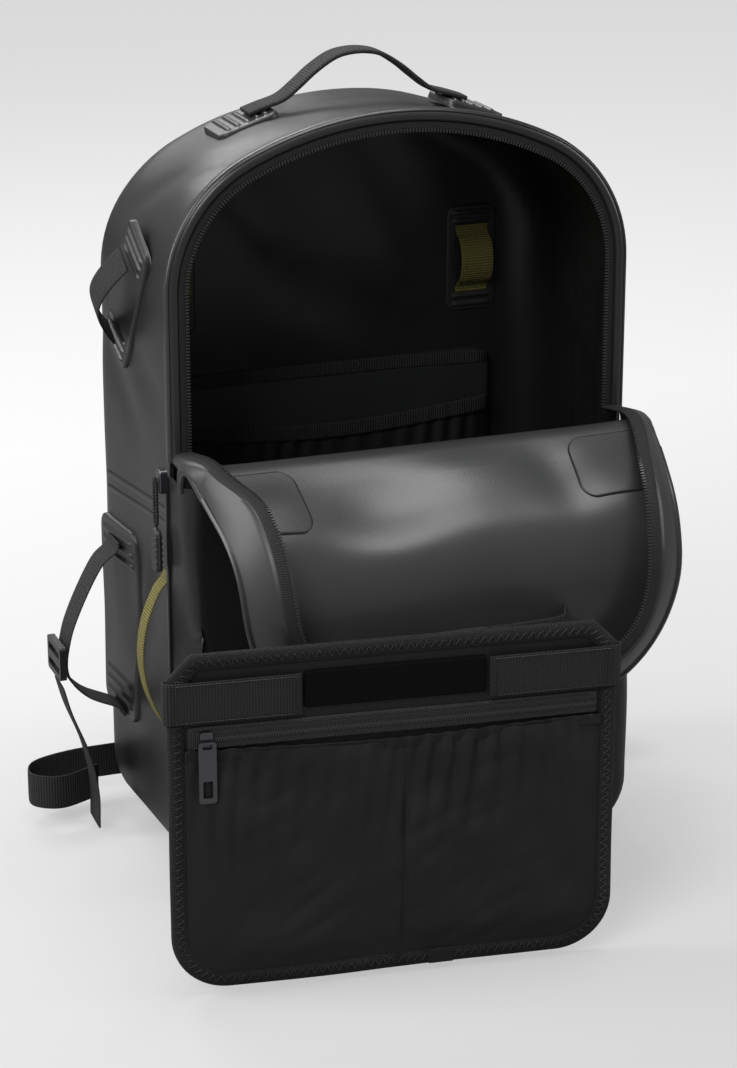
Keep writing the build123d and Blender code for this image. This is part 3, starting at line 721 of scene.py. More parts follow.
stretches = [("fold_left", 0, LEFT_SEAM), ("flap", LEFT_SEAM, RIGHT_SEAM),
             ("fold_right", RIGHT_SEAM, EDGE_COUNT - 1)]
WALL_ROWS = [(k / 10, 0, 0) for k in range(11)] + [(1, 2.5, 0.2)]
TAPE_ROWS = [(1, 1.6, 0.4), (1, 2.2, 1.1), (1, 5, 1.3), (1, 8.6, 1.1), (1, 9, 0.3)]
for label, first, last in stretches:
    steps = range(first, last + 1)
    wall = gusset_strip(f"gusset_{label}", WALL_ROWS, first, last, gusset_fabric)
    thicken(wall, thickness=1.6, offset=0)
    tape = gusset_strip(f"gusset_tape_{label}", TAPE_ROWS, first, last, tape_cloth)
    grid_weave(tape, len(TAPE_ROWS), len(steps), step_u=0.0022, step_v=0.0018)
    thicken(tape, thickness=0.7, offset=0)
    roots, tips = [[gusset_spot(i, 1, extra, 0.9) for i in steps] for extra in (8.8, 11.2)]
    teeth = teeth_row(f"gusset_teeth_{label}", roots, tips, size=TOOTH, pitch=TOOTH_PITCH,
                      material=teeth_plastic)
    outs = [gusset_spot(i, 0, -2, 0) - gusset_spot(i, 0, 1, 2) for i in steps]
    if label != "flap":
        outs = [Vector((-1 if label == "fold_left" else 1, 0, 0))] * len(steps)
    bead = ribbon(f"edge_bead_{label}", [gusset_spot(i, 0.04) for i in steps], outs, width=4.5, height=1.4,
                  material=bead_fabric)
    thicken(bead, thickness=0.6, offset=0)
    if label == "flap":
        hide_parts("flap_gusset", "tip_gusset")
        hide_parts("flap_tape", "tip_tape")
        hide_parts("flap_teeth", "tip_teeth")
    for made, slot in ((wall, "coated_fabric"), (tape, "zip_tape"), (teeth, "zip_teeth"),
                       (bead, "welded_patch")):
        bend_with(made, label)

# Welded patches, pressed from the same coated fabric: two plain ones on the flap beside the
# fold, and ribbed ones on the sides and the top, over the ends of the straps and the handle.
patch_fabric = coated("patch_fabric", (0.02, 0.02, 0.021), rough=0.34, grain=800, strength=0.3, cloud=0.12)
FLAP_PATCH_X, FLAP_PATCH_V = 124, 40


def slab(name, place, width, height, corner, top, material, edge=1.5, across=34, down=40, foot=-0.6):
    """A closed rounded rectangle on a surface. place(x, y, h) gives a point at height h over
    the surface and top(x, y) the height of its upper face; its rim is rounded over edge."""
    points, ups, sides = [], [], []
    for r in range(down + 1):
        y = math.sin(math.pi / 2 * (-1 + 2 * r / down)) * height / 2
        over = max(0, abs(y) - (height / 2 - corner))
        half = width / 2 - corner + math.sqrt(max(0, corner * corner - over * over))
        row = [math.sin(math.pi / 2 * (-1 + 2 * c / across)) * half for c in range(across + 1)]
        for x in row:
            room = clip(min(half - abs(x), height / 2 - abs(y)) / edge)
            round_over = math.sqrt(1 - (1 - room) ** 2)
            points.append(place(x, y, foot + (top(x, y) - foot) * round_over))
            ups.append(y * MM)
            sides.append(x * MM)
        for x in reversed(row):
            points.append(place(x, y, foot))
            ups.append(y * MM)
            sides.append(x * MM)
    made = mesh_piece(name, points, quads(down + 1, 2 * (across + 1), wrapped=True), material)
    lay_weave(made, sides, ups)
    middle = sum((Vector(p) for p in points), Vector()) / len(points)
    face_out(made, middle)
    return made


for side, label in SIDES:
    def on_skin(x, y, h):
        """Point over the flap's inner face, from the middle of this side's patch."""
        x, v = side * FLAP_PATCH_X + x, FLAP_PATCH_V + y
        return on_flap(x, v, skin_depth(x, v) + 1 + h)

    flap_patch = slab(f"flap_patch_{label}", on_skin, width=60, height=54, corner=13, top=lambda x, y: 1.1,
                      material=patch_fabric, edge=1.2)
    if side < 0:
        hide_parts("flap_patches")
    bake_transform(flap_patch)


def ribs(spots, half, tall):
    """Height of rounded ribs across a patch at the given distances along it."""
    def height(x, y):
        fade = ease((half - abs(x)) / 4)
        return sum(tall * math.exp(-((y - spot) / 1.5) ** 4) * fade for spot in spots)
    return height


TURN_UP = math.radians(32)
UPPER_PATCH = Vector((0, 14, 388))
HANDLE_PATCH_X, HANDLE_PATCH_Z, HANDLE_Y = 79, 494.3, 25
HANDLE_RUN, HANDLE_FALL = 0.948, 0.318
STRAP_Y, LOWER_PATCH_Z = 44, 154
upper_along = Vector((0, -math.sin(TURN_UP), math.cos(TURN_UP)))
upper_across = Vector((0, math.cos(TURN_UP), math.sin(TURN_UP)))
upper_ribs = ribs((-45, -38, -31, 31, 38, 45), half=18, tall=1.5)
lower_ribs = ribs((-58, -50, -42, 44, 52, 60), half=26, tall=1.6)
handle_ribs = ribs((-13, -6, 1, 8, 14), half=18, tall=1.4)
for side, label in SIDES:
    def on_wall(y, z, h):
        """Point over this side's slack wall."""
        return Vector((settle((side * half_width(y), y, z), (side, 0, 0)).x + side * h, y, z))

    def on_upper(x, y, h):
        """Point over the wall, along and across the tilted upper patch."""
        spot = UPPER_PATCH + upper_along * y + upper_across * x
        return on_wall(spot.y, spot.z, h)

    upper_patch = slab(f"upper_patch_{label}", on_upper, width=44, height=104, corner=9,
                       top=lambda x, y: 2.4 + upper_ribs(x, y), material=patch_fabric, down=150, foot=-2)
    lower_patch = slab(f"lower_patch_{label}",
                       lambda x, y, h: on_wall(STRAP_Y + x, LOWER_PATCH_Z + y, h), width=62, height=138,
                       corner=10, top=lambda x, y: 2.4 + lower_ribs(x, y), material=patch_fabric,
                       down=170, foot=-2)

    def on_top(x, y, h):
        """Point over the sloping top, y up towards the handle's middle."""
        h -= 0.2
        return Vector((side * (HANDLE_PATCH_X - HANDLE_RUN * y + HANDLE_FALL * h), HANDLE_Y + x,
                       HANDLE_PATCH_Z + HANDLE_FALL * y + HANDLE_RUN * h))

    handle_patch = slab(f"handle_patch_{label}", on_top, width=40, height=44, corner=8,
                        top=lambda x, y: 2 + handle_ribs(x, y), material=patch_fabric, down=110, foot=-3)
    on_bag(upper_patch, "welded_patch", *(["upper_patches"] if side < 0 else []))
    on_bag(lower_patch, "welded_patch", f"lower_patch_{label}")
    on_bag(handle_patch, "welded_patch", *(["handle_patches"] if side < 0 else []))

# Webbing: the carry handle and the loops and straps on the sides. All are flat woven bands,
# black or olive, sewn under their patches.
black_web = woven("black_web", (0.019, 0.019, 0.02), pitch=0.0019, rough=0.7, relief=0.7)
olive_web = woven("olive_web", (0.17, 0.15, 0.042), pitch=0.0019, rough=0.75, relief=0.7)
WEB_WIDTH, WEB_THICK = 24.5, 1.6


def smooth_path(points, steps=8):
    """Catmull-Rom curve through points in millimetres."""
    knots = [Vector(p) for p in points]
    knots = [knots[0] * 2 - knots[1]] + knots + [knots[-1] * 2 - knots[-2]]
    out = []
    for a, b, c, d in zip(knots, knots[1:], knots[2:], knots[3:]):
        for s in range(steps):
            t = s / steps
            out.append(0.5 * (2 * b + (c - a) * t + (2 * a - 5 * b + 4 * c - d) * t * t
                              + (3 * b - a - 3 * c + d) * t ** 3))
    return out + [knots[-2]]


def band(name, points, side, width, thick, material, steps=8, square=6, dome=1.0):
    """A band of webbing or padding along a path; side is the direction across it."""
    path = smooth_path(points, steps)
    side = Vector(side).normalized()
    section = []
    for k in range(24):
        a = 2 * math.pi * (k + 0.5) / 24
        c, s = math.cos(a), math.sin(a)
        section.append((math.copysign(abs(c) ** (2 / square), c) / 2,
                        math.copysign(abs(s) ** dome, s) / 2))
    flat, along, across, walked = [], [], [], 0.0
    for i, here in enumerate(path):
        if i:
            walked += (here - path[i - 1]).length
        ahead = (path[min(i + 1, len(path) - 1)] - path[max(i - 1, 0)]).normalized()
        out = ahead.cross(side).normalized()
        for s, h in section:
            flat.append(here + side * s * width + out * h * thick)
            along.append(walked * MM)
            across.append(s * width * MM)
    count = len(section)
    faces = quads(len(path), count, wrapped=True)
    faces += [tuple(range(count)), tuple(range(len(flat) - 1, len(flat) - 1 - count, -1))]
    made = mesh_piece(name, flat, faces, material)
    edit_whole(made, bpy.ops.mesh.normals_make_consistent, inside=False)
    lay_weave(made, along, across)
    return made


HANDLE = [(-76, 500.3), (-66, 503.6), (-52, 508), (-41, 516), (-30, 525), (-17, 533), (-6, 535.8)]
handle_line = [(x, HANDLE_Y, z) for x, z in HANDLE] + [(-x, HANDLE_Y, z) for x, z in reversed(HANDLE)]
web = band("carry_handle", handle_line, (0, 1, 0), width=20, thick=3.2, material=black_web, dome=0.5)
on_bag(web, "black_webbing", "top_handle")
UPPER_LOOP = [(-168.6, 34), (-174, 26), (-181, 12), (-183.5, 0), (-181, -12), (-174, -26), (-168.6, -34)]
STRAP_LINE = [(-167, 212), (-168.8, 206), (-180, 196), (-194, 170), (-203, 146), (-205, 122), (-192, 104),
              (-168.8, 92), (-166, 86)]
TAIL_LINE = [(-208.5, 112), (-203, 92), (-192, 62), (-187, 34), (-187.5, 8)]
GEAR_LINE = [(-158, 219), (-161, 214), (-167, 206), (-175, 186), (-178, 163), (-175, 140), (-167, 120),
             (-161, 112), (-158, 107)]
GEAR_Y = -52
for side, label in SIDES:
    loop_line = [UPPER_PATCH + upper_along * t - Vector((side * x, 0, 0)) for x, t in UPPER_LOOP]
    web = band(f"upper_web_{label}", loop_line, upper_across, width=22, thick=1.9, material=black_web,
               dome=0.5)
    on_bag(web, "black_webbing", f"upper_loop_{label}")
    strap_line = [(-side * x, STRAP_Y, z) for x, z in STRAP_LINE]
    web = band(f"side_web_{label}", strap_line, (0, 1, 0), width=WEB_WIDTH, thick=WEB_THICK,
               material=black_web, dome=0.5)
    on_bag(web, "black_webbing", f"side_strap_{label}")
    tail_line = [(-side * x, STRAP_Y - 5 * max(0, (60 - z) / 60), z) for x, z in TAIL_LINE]
    web = band(f"side_end_{label}", tail_line, (0, 1, 0.1), width=24, thick=WEB_THICK, material=black_web,
               dome=0.5)
    on_bag(web, "black_webbing", f"side_tail_{label}")
    gear = band(f"gear_web_{label}", [(-side * x, GEAR_Y, z) for x, z in GEAR_LINE], (0, 1, 0), width=13.5,
                thick=1.7, material=olive_web, dome=0.5)
    on_bag(gear, "olive_webbing", *(["gear_loops"] if side < 0 else []))

# Harness behind: two foam pads under spacer mesh, two padded shoulder straps on their webbing,
# and the waist webbing, whose ends swing round to the sides.
mesh_cloth, shader, add, feed = new_material("spacer_mesh")
place = add("ShaderNodeTexCoord").outputs["Object"]
cells = add("ShaderNodeTexVoronoi", {"Scale": 420.0}, Vector=place)
shade = add("ShaderNodeMapRange", _0=cells.outputs["Distance"], _1=0.0, _2=0.6, _3=0.25, _4=1.0)
two_tones(add, feed, shade.outputs[0], (0.006, 0.006, 0.007), (0.034, 0.034, 0.036))
shader.inputs["Roughness"].default_value = 0.8
fine_relief(add, feed, cells.outputs["Distance"], strength=0.8, depth=0.0006)

PAD_X, PAD_Y, PAD_Z, SHOULDER_X, WAIST_Z = 56, 94.3, 272, 62, 26
SHOULDER_LINE = [(99, 430), (100, 436), (109, 452), (130, 442), (144, 385), (148, 300), (140, 225),
                 (128, 182)]
LOWER_LINE = [(122, 166), (119, 151), (114, 124), (103, 88), (96, 52), (95.5, 44)]
WAIST_LINE = [(-104, 96.5), (-112, 96.5), (-150, 98), (-190, 96.5), (-219, 86), (-225, 66), (-207, 54.5),
              (-178, 66)]
for side, label in SIDES:
    pad = slab(f"back_foam_{label}", lambda x, y, h: Vector((side * PAD_X + x, PAD_Y + h, PAD_Z + y)),
               width=78, height=280, corner=26, top=lambda x, y: 12.6 - 1.1 * math.cos(y * 0.09) ** 8,
               material=mesh_cloth, edge=12, down=90)
    on_bag(pad, "padded_mesh", f"back_pad_{label}")
    strap = band(f"shoulder_foam_{label}", [(side * SHOULDER_X, y, z) for y, z in SHOULDER_LINE],
                 (1, 0, 0), width=60, thick=9.5, material=mesh_cloth, square=5, dome=0.7)
    on_bag(strap, "padded_mesh", f"shoulder_strap_{label}")
    lower_line = [(side * SHOULDER_X, y, z) for y, z in LOWER_LINE]
    web = band(f"lower_web_{label}", lower_line, (1, 0, 0), width=WEB_WIDTH, thick=WEB_THICK,
               material=black_web, dome=0.5)
    on_bag(web, "black_webbing", f"shoulder_web_{label}")
    waist_line = [(-side * x, y, WAIST_Z) for x, y in WAIST_LINE]
    web = band(f"waist_web_{label}", waist_line, (0, 0, 1), width=WEB_WIDTH, thick=WEB_THICK,
               material=black_web, dome=0.5)
    on_bag(web, "black_webbing", f"waist_strap_{label}")

# Inside the bag: a padded sleeve against the back wall, a gathered cloth pocket on its front,
# two welded patches with olive loops above, and the taped seams of the right-hand wall.
pocket_cloth = woven("pocket_cloth", (0.012, 0.0112, 0.0115), pitch=0.0009, rough=0.48, relief=0.3)
SLEEVE_Y, SLEEVE_Z = 89, 168
lining = coated("sleeve_fabric", (0.02, 0.021, 0.022), rough=0.45, grain=900, strength=0.2)
sleeve = slab("laptop_sleeve", lambda x, y, h: Vector((x, SLEEVE_Y - h, SLEEVE_Z + y)), width=250,
              height=278, corner=14,
              top=lambda x, y: 5.6 + 0.8 * noise.noise(Vector((x * 0.02, y * 0.02, 7))), material=lining,
              edge=4, down=60)
on_bag(sleeve, "padded_mesh", "padded_sleeve")
HEM_LINE = [(-121, 83.4, 301), (-60, 83.2, 303), (0, 83, 303.4), (60, 83.2, 303), (121, 83.4, 301)]
web = band("sleeve_binding", HEM_LINE, (0, 0.1, 1), width=9, thick=WEB_THICK, material=black_web, dome=0.5)
on_bag(web, "binding_tape")


def gathers(x, y, pitch=17.0, seed=0.0):
    """Height of the little pleats that an elastic hem makes in thin cloth."""
    wander = 5 * math.sin(y * 0.03 + x * 0.011 + seed)
    ridge = 0.5 + 0.5 * math.sin(2 * math.pi * (x + wander) / pitch + 1.3 * math.sin(x * 0.05 + seed))
    return ridge * (0.65 + 0.35 * math.sin(x * 0.037 + seed * 2))


POCKET_HALF, POCKET_Y, POCKET_FOOT, POCKET_TALL = 122, 81.2, 36, 234
flat, pocket_across, pocket_down = [], 130, 50
for r in range(pocket_down + 1):
    t = r / pocket_down
    for c in range(pocket_across + 1):
        a = -1 + 2 * c / pocket_across
        x = a * (POCKET_HALF - 3 * t)
        z = POCKET_FOOT + POCKET_TALL * t - 4 * math.cos(a * 2.6) * t * t
        bow = (9.2 - 3.2 * t) * (1 - abs(a) ** 8) * min(1, t * 8)
        pleat = 2.6 * gathers(x, z, pitch=15, seed=2) * ease((t - 0.25) / 0.7) * (1 - abs(a) ** 10)
        flat.append((x, POCKET_Y - bow - pleat, z))
inner_pocket = mesh_piece("gathered_pocket", flat, quads(pocket_down + 1, pocket_across + 1), pocket_cloth)
grid_weave(inner_pocket, pocket_down + 1, pocket_across + 1, step_u=0.0019, step_v=0.0047)
thicken(inner_pocket, thickness=0.7, offset=0)
on_bag(inner_pocket, "pack_cloth", "inner_pocket")
hem_line = []
for k in range(41):
    a = -1 + k / 20
    hem_line.append((119 * a, 72.6 + 5 * abs(a) ** 8 - 1.2 * gathers(119 * a, 268, pitch=15, seed=2),
                     266 - 4 * math.cos(a * 2.6)))
pocket_hem = band("pocket_hem", hem_line, (0, 0, 1), width=11, thick=2.2, material=black_web, steps=3,
                  dome=0.6)
on_bag(pocket_hem, "binding_tape")

INNER_X, INNER_Y, INNER_Z = 111, 90.9, 372
INNER_LOOP = [(89, 24), (88, 19), (80, 12), (77, 0), (80, -12), (88, -19), (89, -24)]
inner_ribs = ribs((-33, -27, 27, 33), half=15, tall=1.1)
for side, label in SIDES:
    def on_back(x, y, h):
        """Point over the back wall, from the middle of this side's patch."""
        return Vector((side * INNER_X + x, INNER_Y - h, INNER_Z + y))

    plate = slab(f"inner_patch_{label}", on_back, width=38, height=76, corner=8,
                 top=lambda x, y: 1.7 + inner_ribs(x, y), material=patch_fabric, down=110)
    on_bag(plate, "welded_patch", *(["inner_patches"] if side < 0 else []))
    loop = band(f"inner_web_{label}", [(side * INNER_X, y, INNER_Z + rise) for y, rise in INNER_LOOP],
                (1, 0, 0), width=24, thick=WEB_THICK, material=olive_web, dome=0.5)
    on_bag(loop, "olive_webbing", *(["inner_loops"] if side < 0 else []))
for k, depth in enumerate((-30, 12)):
    line = [(half_width(depth) - 3.6, depth, z) for z in range(40, 400, 12)]
    seam = ribbon(f"inner_seam_{k}", line, [(-1, 0, 0)] * len(line), width=9, height=0.8,
                  material=seam_fabric)
    face_out(seam, (300, depth, 220))
    thicken(seam, thickness=0.4, offset=0)
    on_bag(seam, "coated_fabric")

# Organizer panel: a flat cloth panel bound all round, hung off the flap's end and turned a
# little to the left. All its pieces are laid out from the middle of its top edge.
ORG_YAW = math.radians(7)
ORG_X = Vector((math.cos(ORG_YAW), -math.sin(ORG_YAW), 0))
ORG_OUT = Vector((-math.sin(ORG_YAW), -math.cos(ORG_YAW), 0))
ORG_TOP = Vector((-69, -231, 226))
ORG_HALF, ORG_TALL, ORG_CORNER = 141, 222, 36


def on_panel(x, y, h):
    """Point of the organizer: x across, y up from its top edge, h out from its backing."""
    sag = 1.6 * noise.noise(Vector((x * 0.013, y * 0.017, 5))) * ease(-y / 60)
    return ORG_TOP + ORG_X * x + Vector((0, 0, y)) + ORG_OUT * (h + sag)


def hang(made, slot, *nodes):
    """Fixes a piece to the organizer, as on_bag does to the bag."""
    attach(made, "organizer")
    if nodes:
        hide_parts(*nodes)


backing = slab("panel_backing", lambda x, y, h: on_panel(x, y - ORG_TALL / 2, h), width=274, height=214,
               corner=30, top=lambda x, y: 2.3, material=pocket_cloth, edge=1, foot=-0.1, down=60)
for vertex in backing.data.vertices:
    vertex.co -= ORG_OUT * 2.5 * MM
hang(backing, "pack_cloth", "organizer_backing")


def panel_edge(inset):
    """The panel's outline from the middle of its hem, clockwise from the front, as (x, y)."""
    half, low, radius = ORG_HALF - inset, inset - ORG_TALL, ORG_CORNER - inset
    cut = 15 - inset / 2
    side = [(-(half - radius) * k, low) for k in spread(0, 1, 20)]
    side += [(-(half - radius) - radius * math.sin(a), low + radius - radius * math.cos(a))
             for a in spread(0, math.pi / 2, 16)]
    side += [(-half, y) for y in spread(low + radius, -inset - cut, 28)]
    side += [(-half + cut * k, -inset - cut + cut * k) for k in spread(0, 1, 5)]
    side += [(-(half - cut) * (1 - k), -inset) for k in spread(0, 1, 24)]
    return side + [(0, -inset)] + [(-x, y) for x, y in reversed(side[1:])]


binding_tape = woven("binding_tape", (0.0135, 0.012, 0.012), pitch=0.0011, rough=0.7, relief=0.7)
WRAP = [(10, -2.4), (9, -3.4), (4, -3.7), (1, -3.2), (0, -1.4), (0.1, 0.2), (1.2, 1.3), (5, 1.7),
        (9.2, 1.5), (10.2, 0.3)]
count = len(panel_edge(0))
flat = [on_panel(x, y, h) for inset, h in WRAP for x, y in panel_edge(inset)]
binding = mesh_piece("panel_binding", flat, quads(len(WRAP), count, wrapped=True), binding_tape)
face_out(binding, ORG_TOP - Vector((0, 0, ORG_TALL / 2)))
grid_weave(binding, len(WRAP), count, step_u=0.0046, step_v=0.0022)
thicken(binding, thickness=0.5, offset=0)
hang(binding, "binding_tape", "organizer_binding")

thread, shader, add, feed = new_material("thread")
shader.inputs["Base Color"].default_value = (0.022, 0.02, 0.02, 1)
shader.inputs["Roughness"].default_value = 0.6
place = add("ShaderNodeTexCoord").outputs["Object"]
twist = add("ShaderNodeTexNoise", {"Scale": 3000.0}, Vector=place)
fine_relief(add, feed, twist.outputs["Fac"], strength=0.5, depth=0.0002)
STITCH, THREAD = 2.6, 0.35


def stitches(name, line):
    """Separate stitches between neighbouring points of a line on the panel, as (x, y, h)."""
    points, faces = [], []
    for a, b in zip(line, line[1:]):
        start, end = on_panel(*a), on_panel(*b)
        ahead = (end - start).normalized()
        start, end = start + ahead * 0.2, end - ahead * 0.2
        side = ahead.cross(ORG_OUT).normalized() * THREAD
        first = len(points)
        for spot, rise in ((start, 0), (start.lerp(end, 0.5), 0.35), (end, 0)):
            points += [spot - side, spot + ORG_OUT * (THREAD + rise), spot + side]
        for k in (0, 3):
            faces += [(first + k, first + k + 3, first + k + 4, first + k + 1),
                      (first + k + 1, first + k + 4, first + k + 5, first + k + 2),
                      (first + k + 2, first + k + 5, first + k + 3, first + k)]
    return mesh_piece(name, points, faces, thread, smooth=False)


def zigzag(low, high):
    """Zigzag between two matching closed lines, one corner for each stitch."""
    out, walked, target, flip = [], 0.0, 0.0, False
    for i in range(len(low)):
        j = (i + 1) % len(low)
        a, b = Vector(low[i]), Vector(low[j])
        length = (b - a).length
        while length > 0 and target <= walked + length:
            t = (target - walked) / length
            spot = Vector(high[i]).lerp(Vector(high[j]), t) if flip else a.lerp(b, t)
            out.append((spot.x, spot.y, 1.9))
            target += STITCH
            flip = not flip
        walked += length
    return out


hang(stitches("binding_stitches", zigzag(panel_edge(3.2), panel_edge(7.6))), "binding_tape")
overlap = slab("binding_overlap", lambda x, y, h: on_panel(30 + x, -216.8 + y, 1.7 + h), width=17,
               height=10.2, corner=1.5, top=lambda x, y: 0.8, material=binding_tape, edge=0.8,
               across=12, down=10, foot=-0.2)
hang(overlap, "binding_tape")

# Organizer's top: webbing tabs that wrap both side edges, a fuzzy loop strip between them, and
# the coil zip with its tape and stitch lines.
TAB_LEVEL, TAB_END, STRIP_LEVEL = -30, 59, -28
TAB_WRAP = [(TAB_END, 2.9), (90, 3.1), (132, 3.1), (141, 2.2), (143, -1), (141, -4.2), (130, -4.8),
            (100, -4.8)]
TAB_BOX = [(TAB_END + 3, TAB_LEVEL - 12), (TAB_END + 3, TAB_LEVEL + 12), (136, TAB_LEVEL + 12),
           (136, TAB_LEVEL - 12)]
for side, label in SIDES:
    tab_line = [on_panel(side * x, TAB_LEVEL, h) for x, h in TAB_WRAP]
    tab = band(f"wrap_tab_{label}", tab_line, (0, 0, 1), width=27, thick=1.7, material=black_web, dome=0.4)
    hang(tab, "black_webbing", f"organizer_tab_{label}")
    box = []
    for a, b in zip(TAB_BOX, TAB_BOX[1:] + TAB_BOX[:1]):
        a, b = Vector((side * a[0], a[1], 4)), Vector((side * b[0], b[1], 4))
        steps = int((b - a).length / STITCH)
        box += [a.lerp(b, k / steps) for k in range(steps)]
    hang(stitches(f"tab_stitches_{label}", box), "black_webbing")

fuzzy, shader, add, feed = new_material("loop_pile")
place = add("ShaderNodeTexCoord").outputs["Object"]
pile = add("ShaderNodeTexNoise", {"Scale": 1500.0, "Detail": 4.0, "Roughness": 0.8}, Vector=place)
shade = add("ShaderNodeMapRange", _0=pile.outputs["Fac"], _1=0.35, _2=0.7)
two_tones(add, feed, shade.outputs[0], (0.0015, 0.0015, 0.0015), (0.012, 0.011, 0.011))
shader.inputs["Roughness"].default_value = 0.95
shader.inputs["Specular IOR Level"].default_value = 0.1
fine_relief(add, feed, pile.outputs["Fac"], strength=1.0, depth=0.001)
strip = slab("loop_strip", lambda x, y, h: on_panel(x, STRIP_LEVEL + y, 0.4 + h), width=114, height=24,
             corner=2, top=lambda x, y: 2.1 + 0.35 * noise.noise(Vector((x * 1.1, y * 1.1, 0))),
             material=fuzzy, edge=1, across=110, down=30)
hang(strip, "loop_tape", "hook_strip")

zip_cloth = woven("panel_zip_cloth", (0.03, 0.031, 0.033), pitch=0.0012, rough=0.6, relief=0.5)
ZIP_LEVEL = -54
zip_tape = slab("panel_zip_tape", lambda x, y, h: on_panel(x, ZIP_LEVEL + y, 0.3 + h), width=258, height=15,
                corner=1, top=lambda x, y: 1.0, material=zip_cloth, edge=0.8, across=60, down=12)
hang(zip_tape, "zip_tape", "organizer_zip_tape")
for k, half_gap in enumerate((-1.9, 1.9)):
    roots, tips = [[on_panel(-122 + 2.5 * i + 0.8 * k, ZIP_LEVEL + rise, 1.9) for i in range(101)]
                   for rise in (half_gap, half_gap - math.copysign(2.6, half_gap))]
    coil = teeth_row(f"panel_coil_{k}", roots, tips, size=(1.0, 1.2), pitch=1.6, material=teeth_plastic)
    hang(coil, "zip_teeth", *(["organizer_coil"] if k == 0 else []))
for k, level in enumerate((ZIP_LEVEL + 5.8, ZIP_LEVEL - 5.8)):
    hang(stitches(f"zip_stitches_{k}", [(-126 + STITCH * i, level, 1.5) for i in range(97)]), "zip_tape")

# Organizer's pocket: thin cloth gathered under an elastic hem just below the zip, fuller in
# the middle, with a seam down its centre. Its other three edges run under the binding.
HEM_LEVEL = -64
flat, pocket_across, pocket_down = [], 180, 64
for r in range(pocket_down + 1):
    t = r / pocket_down
    y = -213.5 + t * 149
    over = max(0, -(y + 184))
    half = 98 + math.sqrt(max(0, 34 * 34 - over * over)) if over > 0 else 132
    for c in range(pocket_across + 1):
        a = -1 + 2 * c / pocket_across
        x = a * half
        border = (1 - abs(a) ** 10) * min(1, t * 9)
        rise = 0.6 + border * (1.7 + 1.1 * math.sin(math.pi * min(1, t * 1.1)))
        rise += border * 2.9 * gathers(x, y, pitch=13) * ease((t - 0.12) / 0.85) ** 1.5
        rise += border * 4.2 * noise.noise(Vector((x * 0.022 + y * 0.012, y * 0.026 - x * 0.006, 9)))
        rise += border * 2.4 * abs(noise.noise(Vector((x * 0.034 - y * 0.024, y * 0.034, 4))))
        rise -= 1.6 * math.exp(-((x - 6) / 2.2) ** 2) * border
        lift = 2.2 * gathers(x, HEM_LEVEL, pitch=13) * t * t * border - 1.6 * math.cos(a * 3) * t * t
        flat.append(on_panel(x, y + lift, rise))
pocket_face = mesh_piece("panel_pocket", flat, quads(pocket_down + 1, pocket_across + 1), pocket_cloth)
grid_weave(pocket_face, pocket_down + 1, pocket_across + 1, step_u=0.00147, step_v=0.0023)
thicken(pocket_face, thickness=0.6, offset=0)
hang(pocket_face, "pack_cloth", "organizer_pocket")
hem_line = []
for k in range(91):
    a = -1 + 2 * k / 90
    x = a * 131
    level = HEM_LEVEL - 2.6 + 1.76 * gathers(x, HEM_LEVEL, pitch=13) - 1.6 * math.cos(a * 3)
    hem_line.append(on_panel(x, level, 2.6 + 1.9 * gathers(x, -66, pitch=13) * (1 - abs(a) ** 10)))
hem = band("elastic_hem", hem_line, (0, 0, 1), width=7, thick=1.5, material=binding_tape, steps=2, dome=0.6)
hang(hem, "pack_cloth")

# How the organizer hangs: a short sleeve of webbing behind its top edge, which slides on a
# cross strap of narrower webbing. The strap runs across the flap's drooping end.
CROSS_V = 138
CROSS_DEPTHS = ((-128, 24), (-118, 30), (-60, 30), (0, 30), (54, 28), (66, 14), (70, 7))
cross_line = [on_flap(x, CROSS_V, depth) for x, depth in CROSS_DEPTHS]
cross_width = on_flap(0, CROSS_V + 1, 30) - on_flap(0, CROSS_V, 30)
cross = band("cross_web", cross_line, cross_width, width=16, thick=1.3, material=black_web, dome=0.5)
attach(cross, "flap_tip")
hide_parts("cross_strap")
HANGER_X = -35
HANGER_LINE = [(-228.5, 214), (-226, 221), (-216, 218), (-209, 207), (-212, 197), (-222, 200),
               (-227.5, 206)]
hanger = band("hanger_web", [(HANGER_X, y, z) for y, z in HANGER_LINE], (1, 0, 0), width=58, thick=1.5,
              material=black_web, dome=0.5)
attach(hanger, "hanger")
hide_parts("organizer_hanger")

# Pull at the end of the main zip: a loop of braided cord through the slider, with a ribbed
# moulded tab. It hangs down the left side.
braid = woven("braid", (0.02, 0.02, 0.021), pitch=0.0015, rough=0.7, relief=0.9)


def cord_loop(name, points, radius, material):
    """A round cord along a closed path."""
    knots = [Vector(p) for p in points]
    path = smooth_path(knots + knots[:3])[8:-15]
    flat, along, across = [], [], []
    for i, here in enumerate(path):
        ahead = (path[(i + 1) % len(path)] - path[i - 1]).normalized()
        side = ahead.cross(Vector((1, 0, 0))).normalized()
        up = ahead.cross(side)
        for k in range(12):
            a = 2 * math.pi * k / 12
            flat.append(here + (side * math.cos(a) + up * math.sin(a)) * radius)
            along.append(i * 0.0012)
            across.append(k * 0.0006)
    last = (len(path) - 1) * 12
    faces = quads(len(path), 12, wrapped=True)
    faces += [(last + k, last + (k + 1) % 12, (k + 1) % 12, k) for k in range(12)]
    made = mesh_piece(name, flat, faces, material)
    lay_weave(made, along, across)
    return made


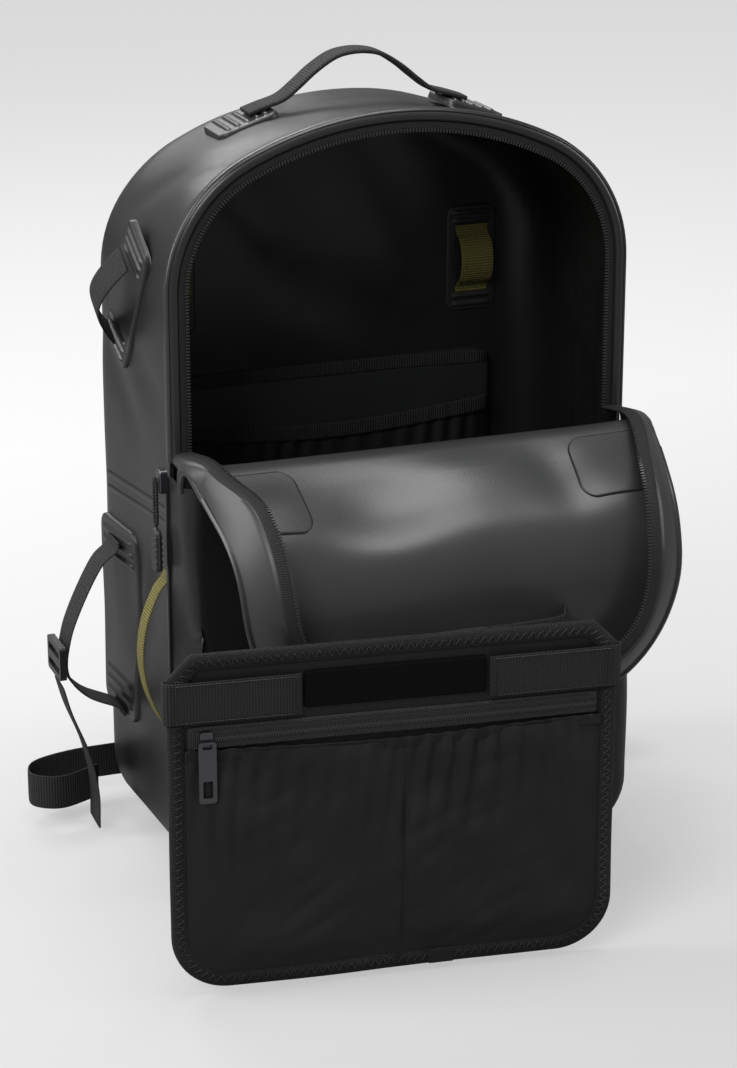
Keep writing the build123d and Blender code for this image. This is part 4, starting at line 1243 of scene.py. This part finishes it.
PULL_X, PULL_Y, GRIP_Z = -167.6, -60, 238
LOOP_LINE = [(0, 286), (-2.3, 283.5), (-2.6, 272), (-2.2, 258), (0, 254.5), (2.2, 258), (2.6, 272),
             (2.3, 283.5)]
cord = cord_loop("pull_loop", [(PULL_X, PULL_Y + y, z) for y, z in LOOP_LINE], radius=1.1, material=braid)
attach(cord, "main_zip_pull")
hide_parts("pull_cord")
rubber = coated("pull_rubber", (0.018, 0.018, 0.019), rough=0.42, grain=1200, strength=0.3)


def grip_face(x, y):
    """Height of the grip's ribbed face."""
    return 2.1 + 0.7 * max(0, math.sin(y * 1.55)) * ease((13 - abs(y)) / 3)


for k, facing in enumerate((-1, 1)):
    grip = slab(f"pull_grip_{k}", lambda x, y, h: Vector((PULL_X + facing * h, PULL_Y + x, GRIP_Z + y)),
                width=12, height=29, corner=4, top=grip_face, material=rubber, edge=1.4, across=20, down=90,
                foot=0)
    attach(grip, "main_zip_pull")
    if k == 0:
        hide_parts("pull_tab")

# Hard fittings that keep their drawn shape: buckles and ladder locks of moulded plastic, and
# the zips' sliders and the organizer's pull tag of dark metal. Each is on its strap or zip.
plastic, shader, add, feed = new_material("moulded_plastic")
shader.inputs["Base Color"].default_value = (0.016, 0.016, 0.017, 1)
place = add("ShaderNodeTexCoord").outputs["Object"]
grit = add("ShaderNodeTexNoise", {"Scale": 700.0}, Vector=place)
uneven_gloss(add, feed, grit.outputs["Fac"], low=0.28, high=0.42)
fine_relief(add, feed, grit.outputs["Fac"], strength=0.2, depth=0.0002)
gunmetal, shader, add, feed = new_material("gunmetal")
shader.inputs["Base Color"].default_value = (0.13, 0.13, 0.14, 1)
shader.inputs["Metallic"].default_value = 1
place = add("ShaderNodeTexCoord").outputs["Object"]
haze = add("ShaderNodeTexNoise", {"Scale": 60.0, "Detail": 6.0}, Vector=place)
uneven_gloss(add, feed, haze.outputs["Fac"], low=0.25, high=0.42)
HARD = {"side_buckle_left": plastic, "side_buckle_right": plastic, "ladder_lock_left": plastic,
        "ladder_lock_right": plastic, "main_slider": gunmetal, "organizer_slider": gunmetal,
        "organizer_puller": gunmetal}
for name, material in HARD.items():
    node = bpy.data.objects[name]
    node.data.materials.clear()
    node.data.materials.append(material)
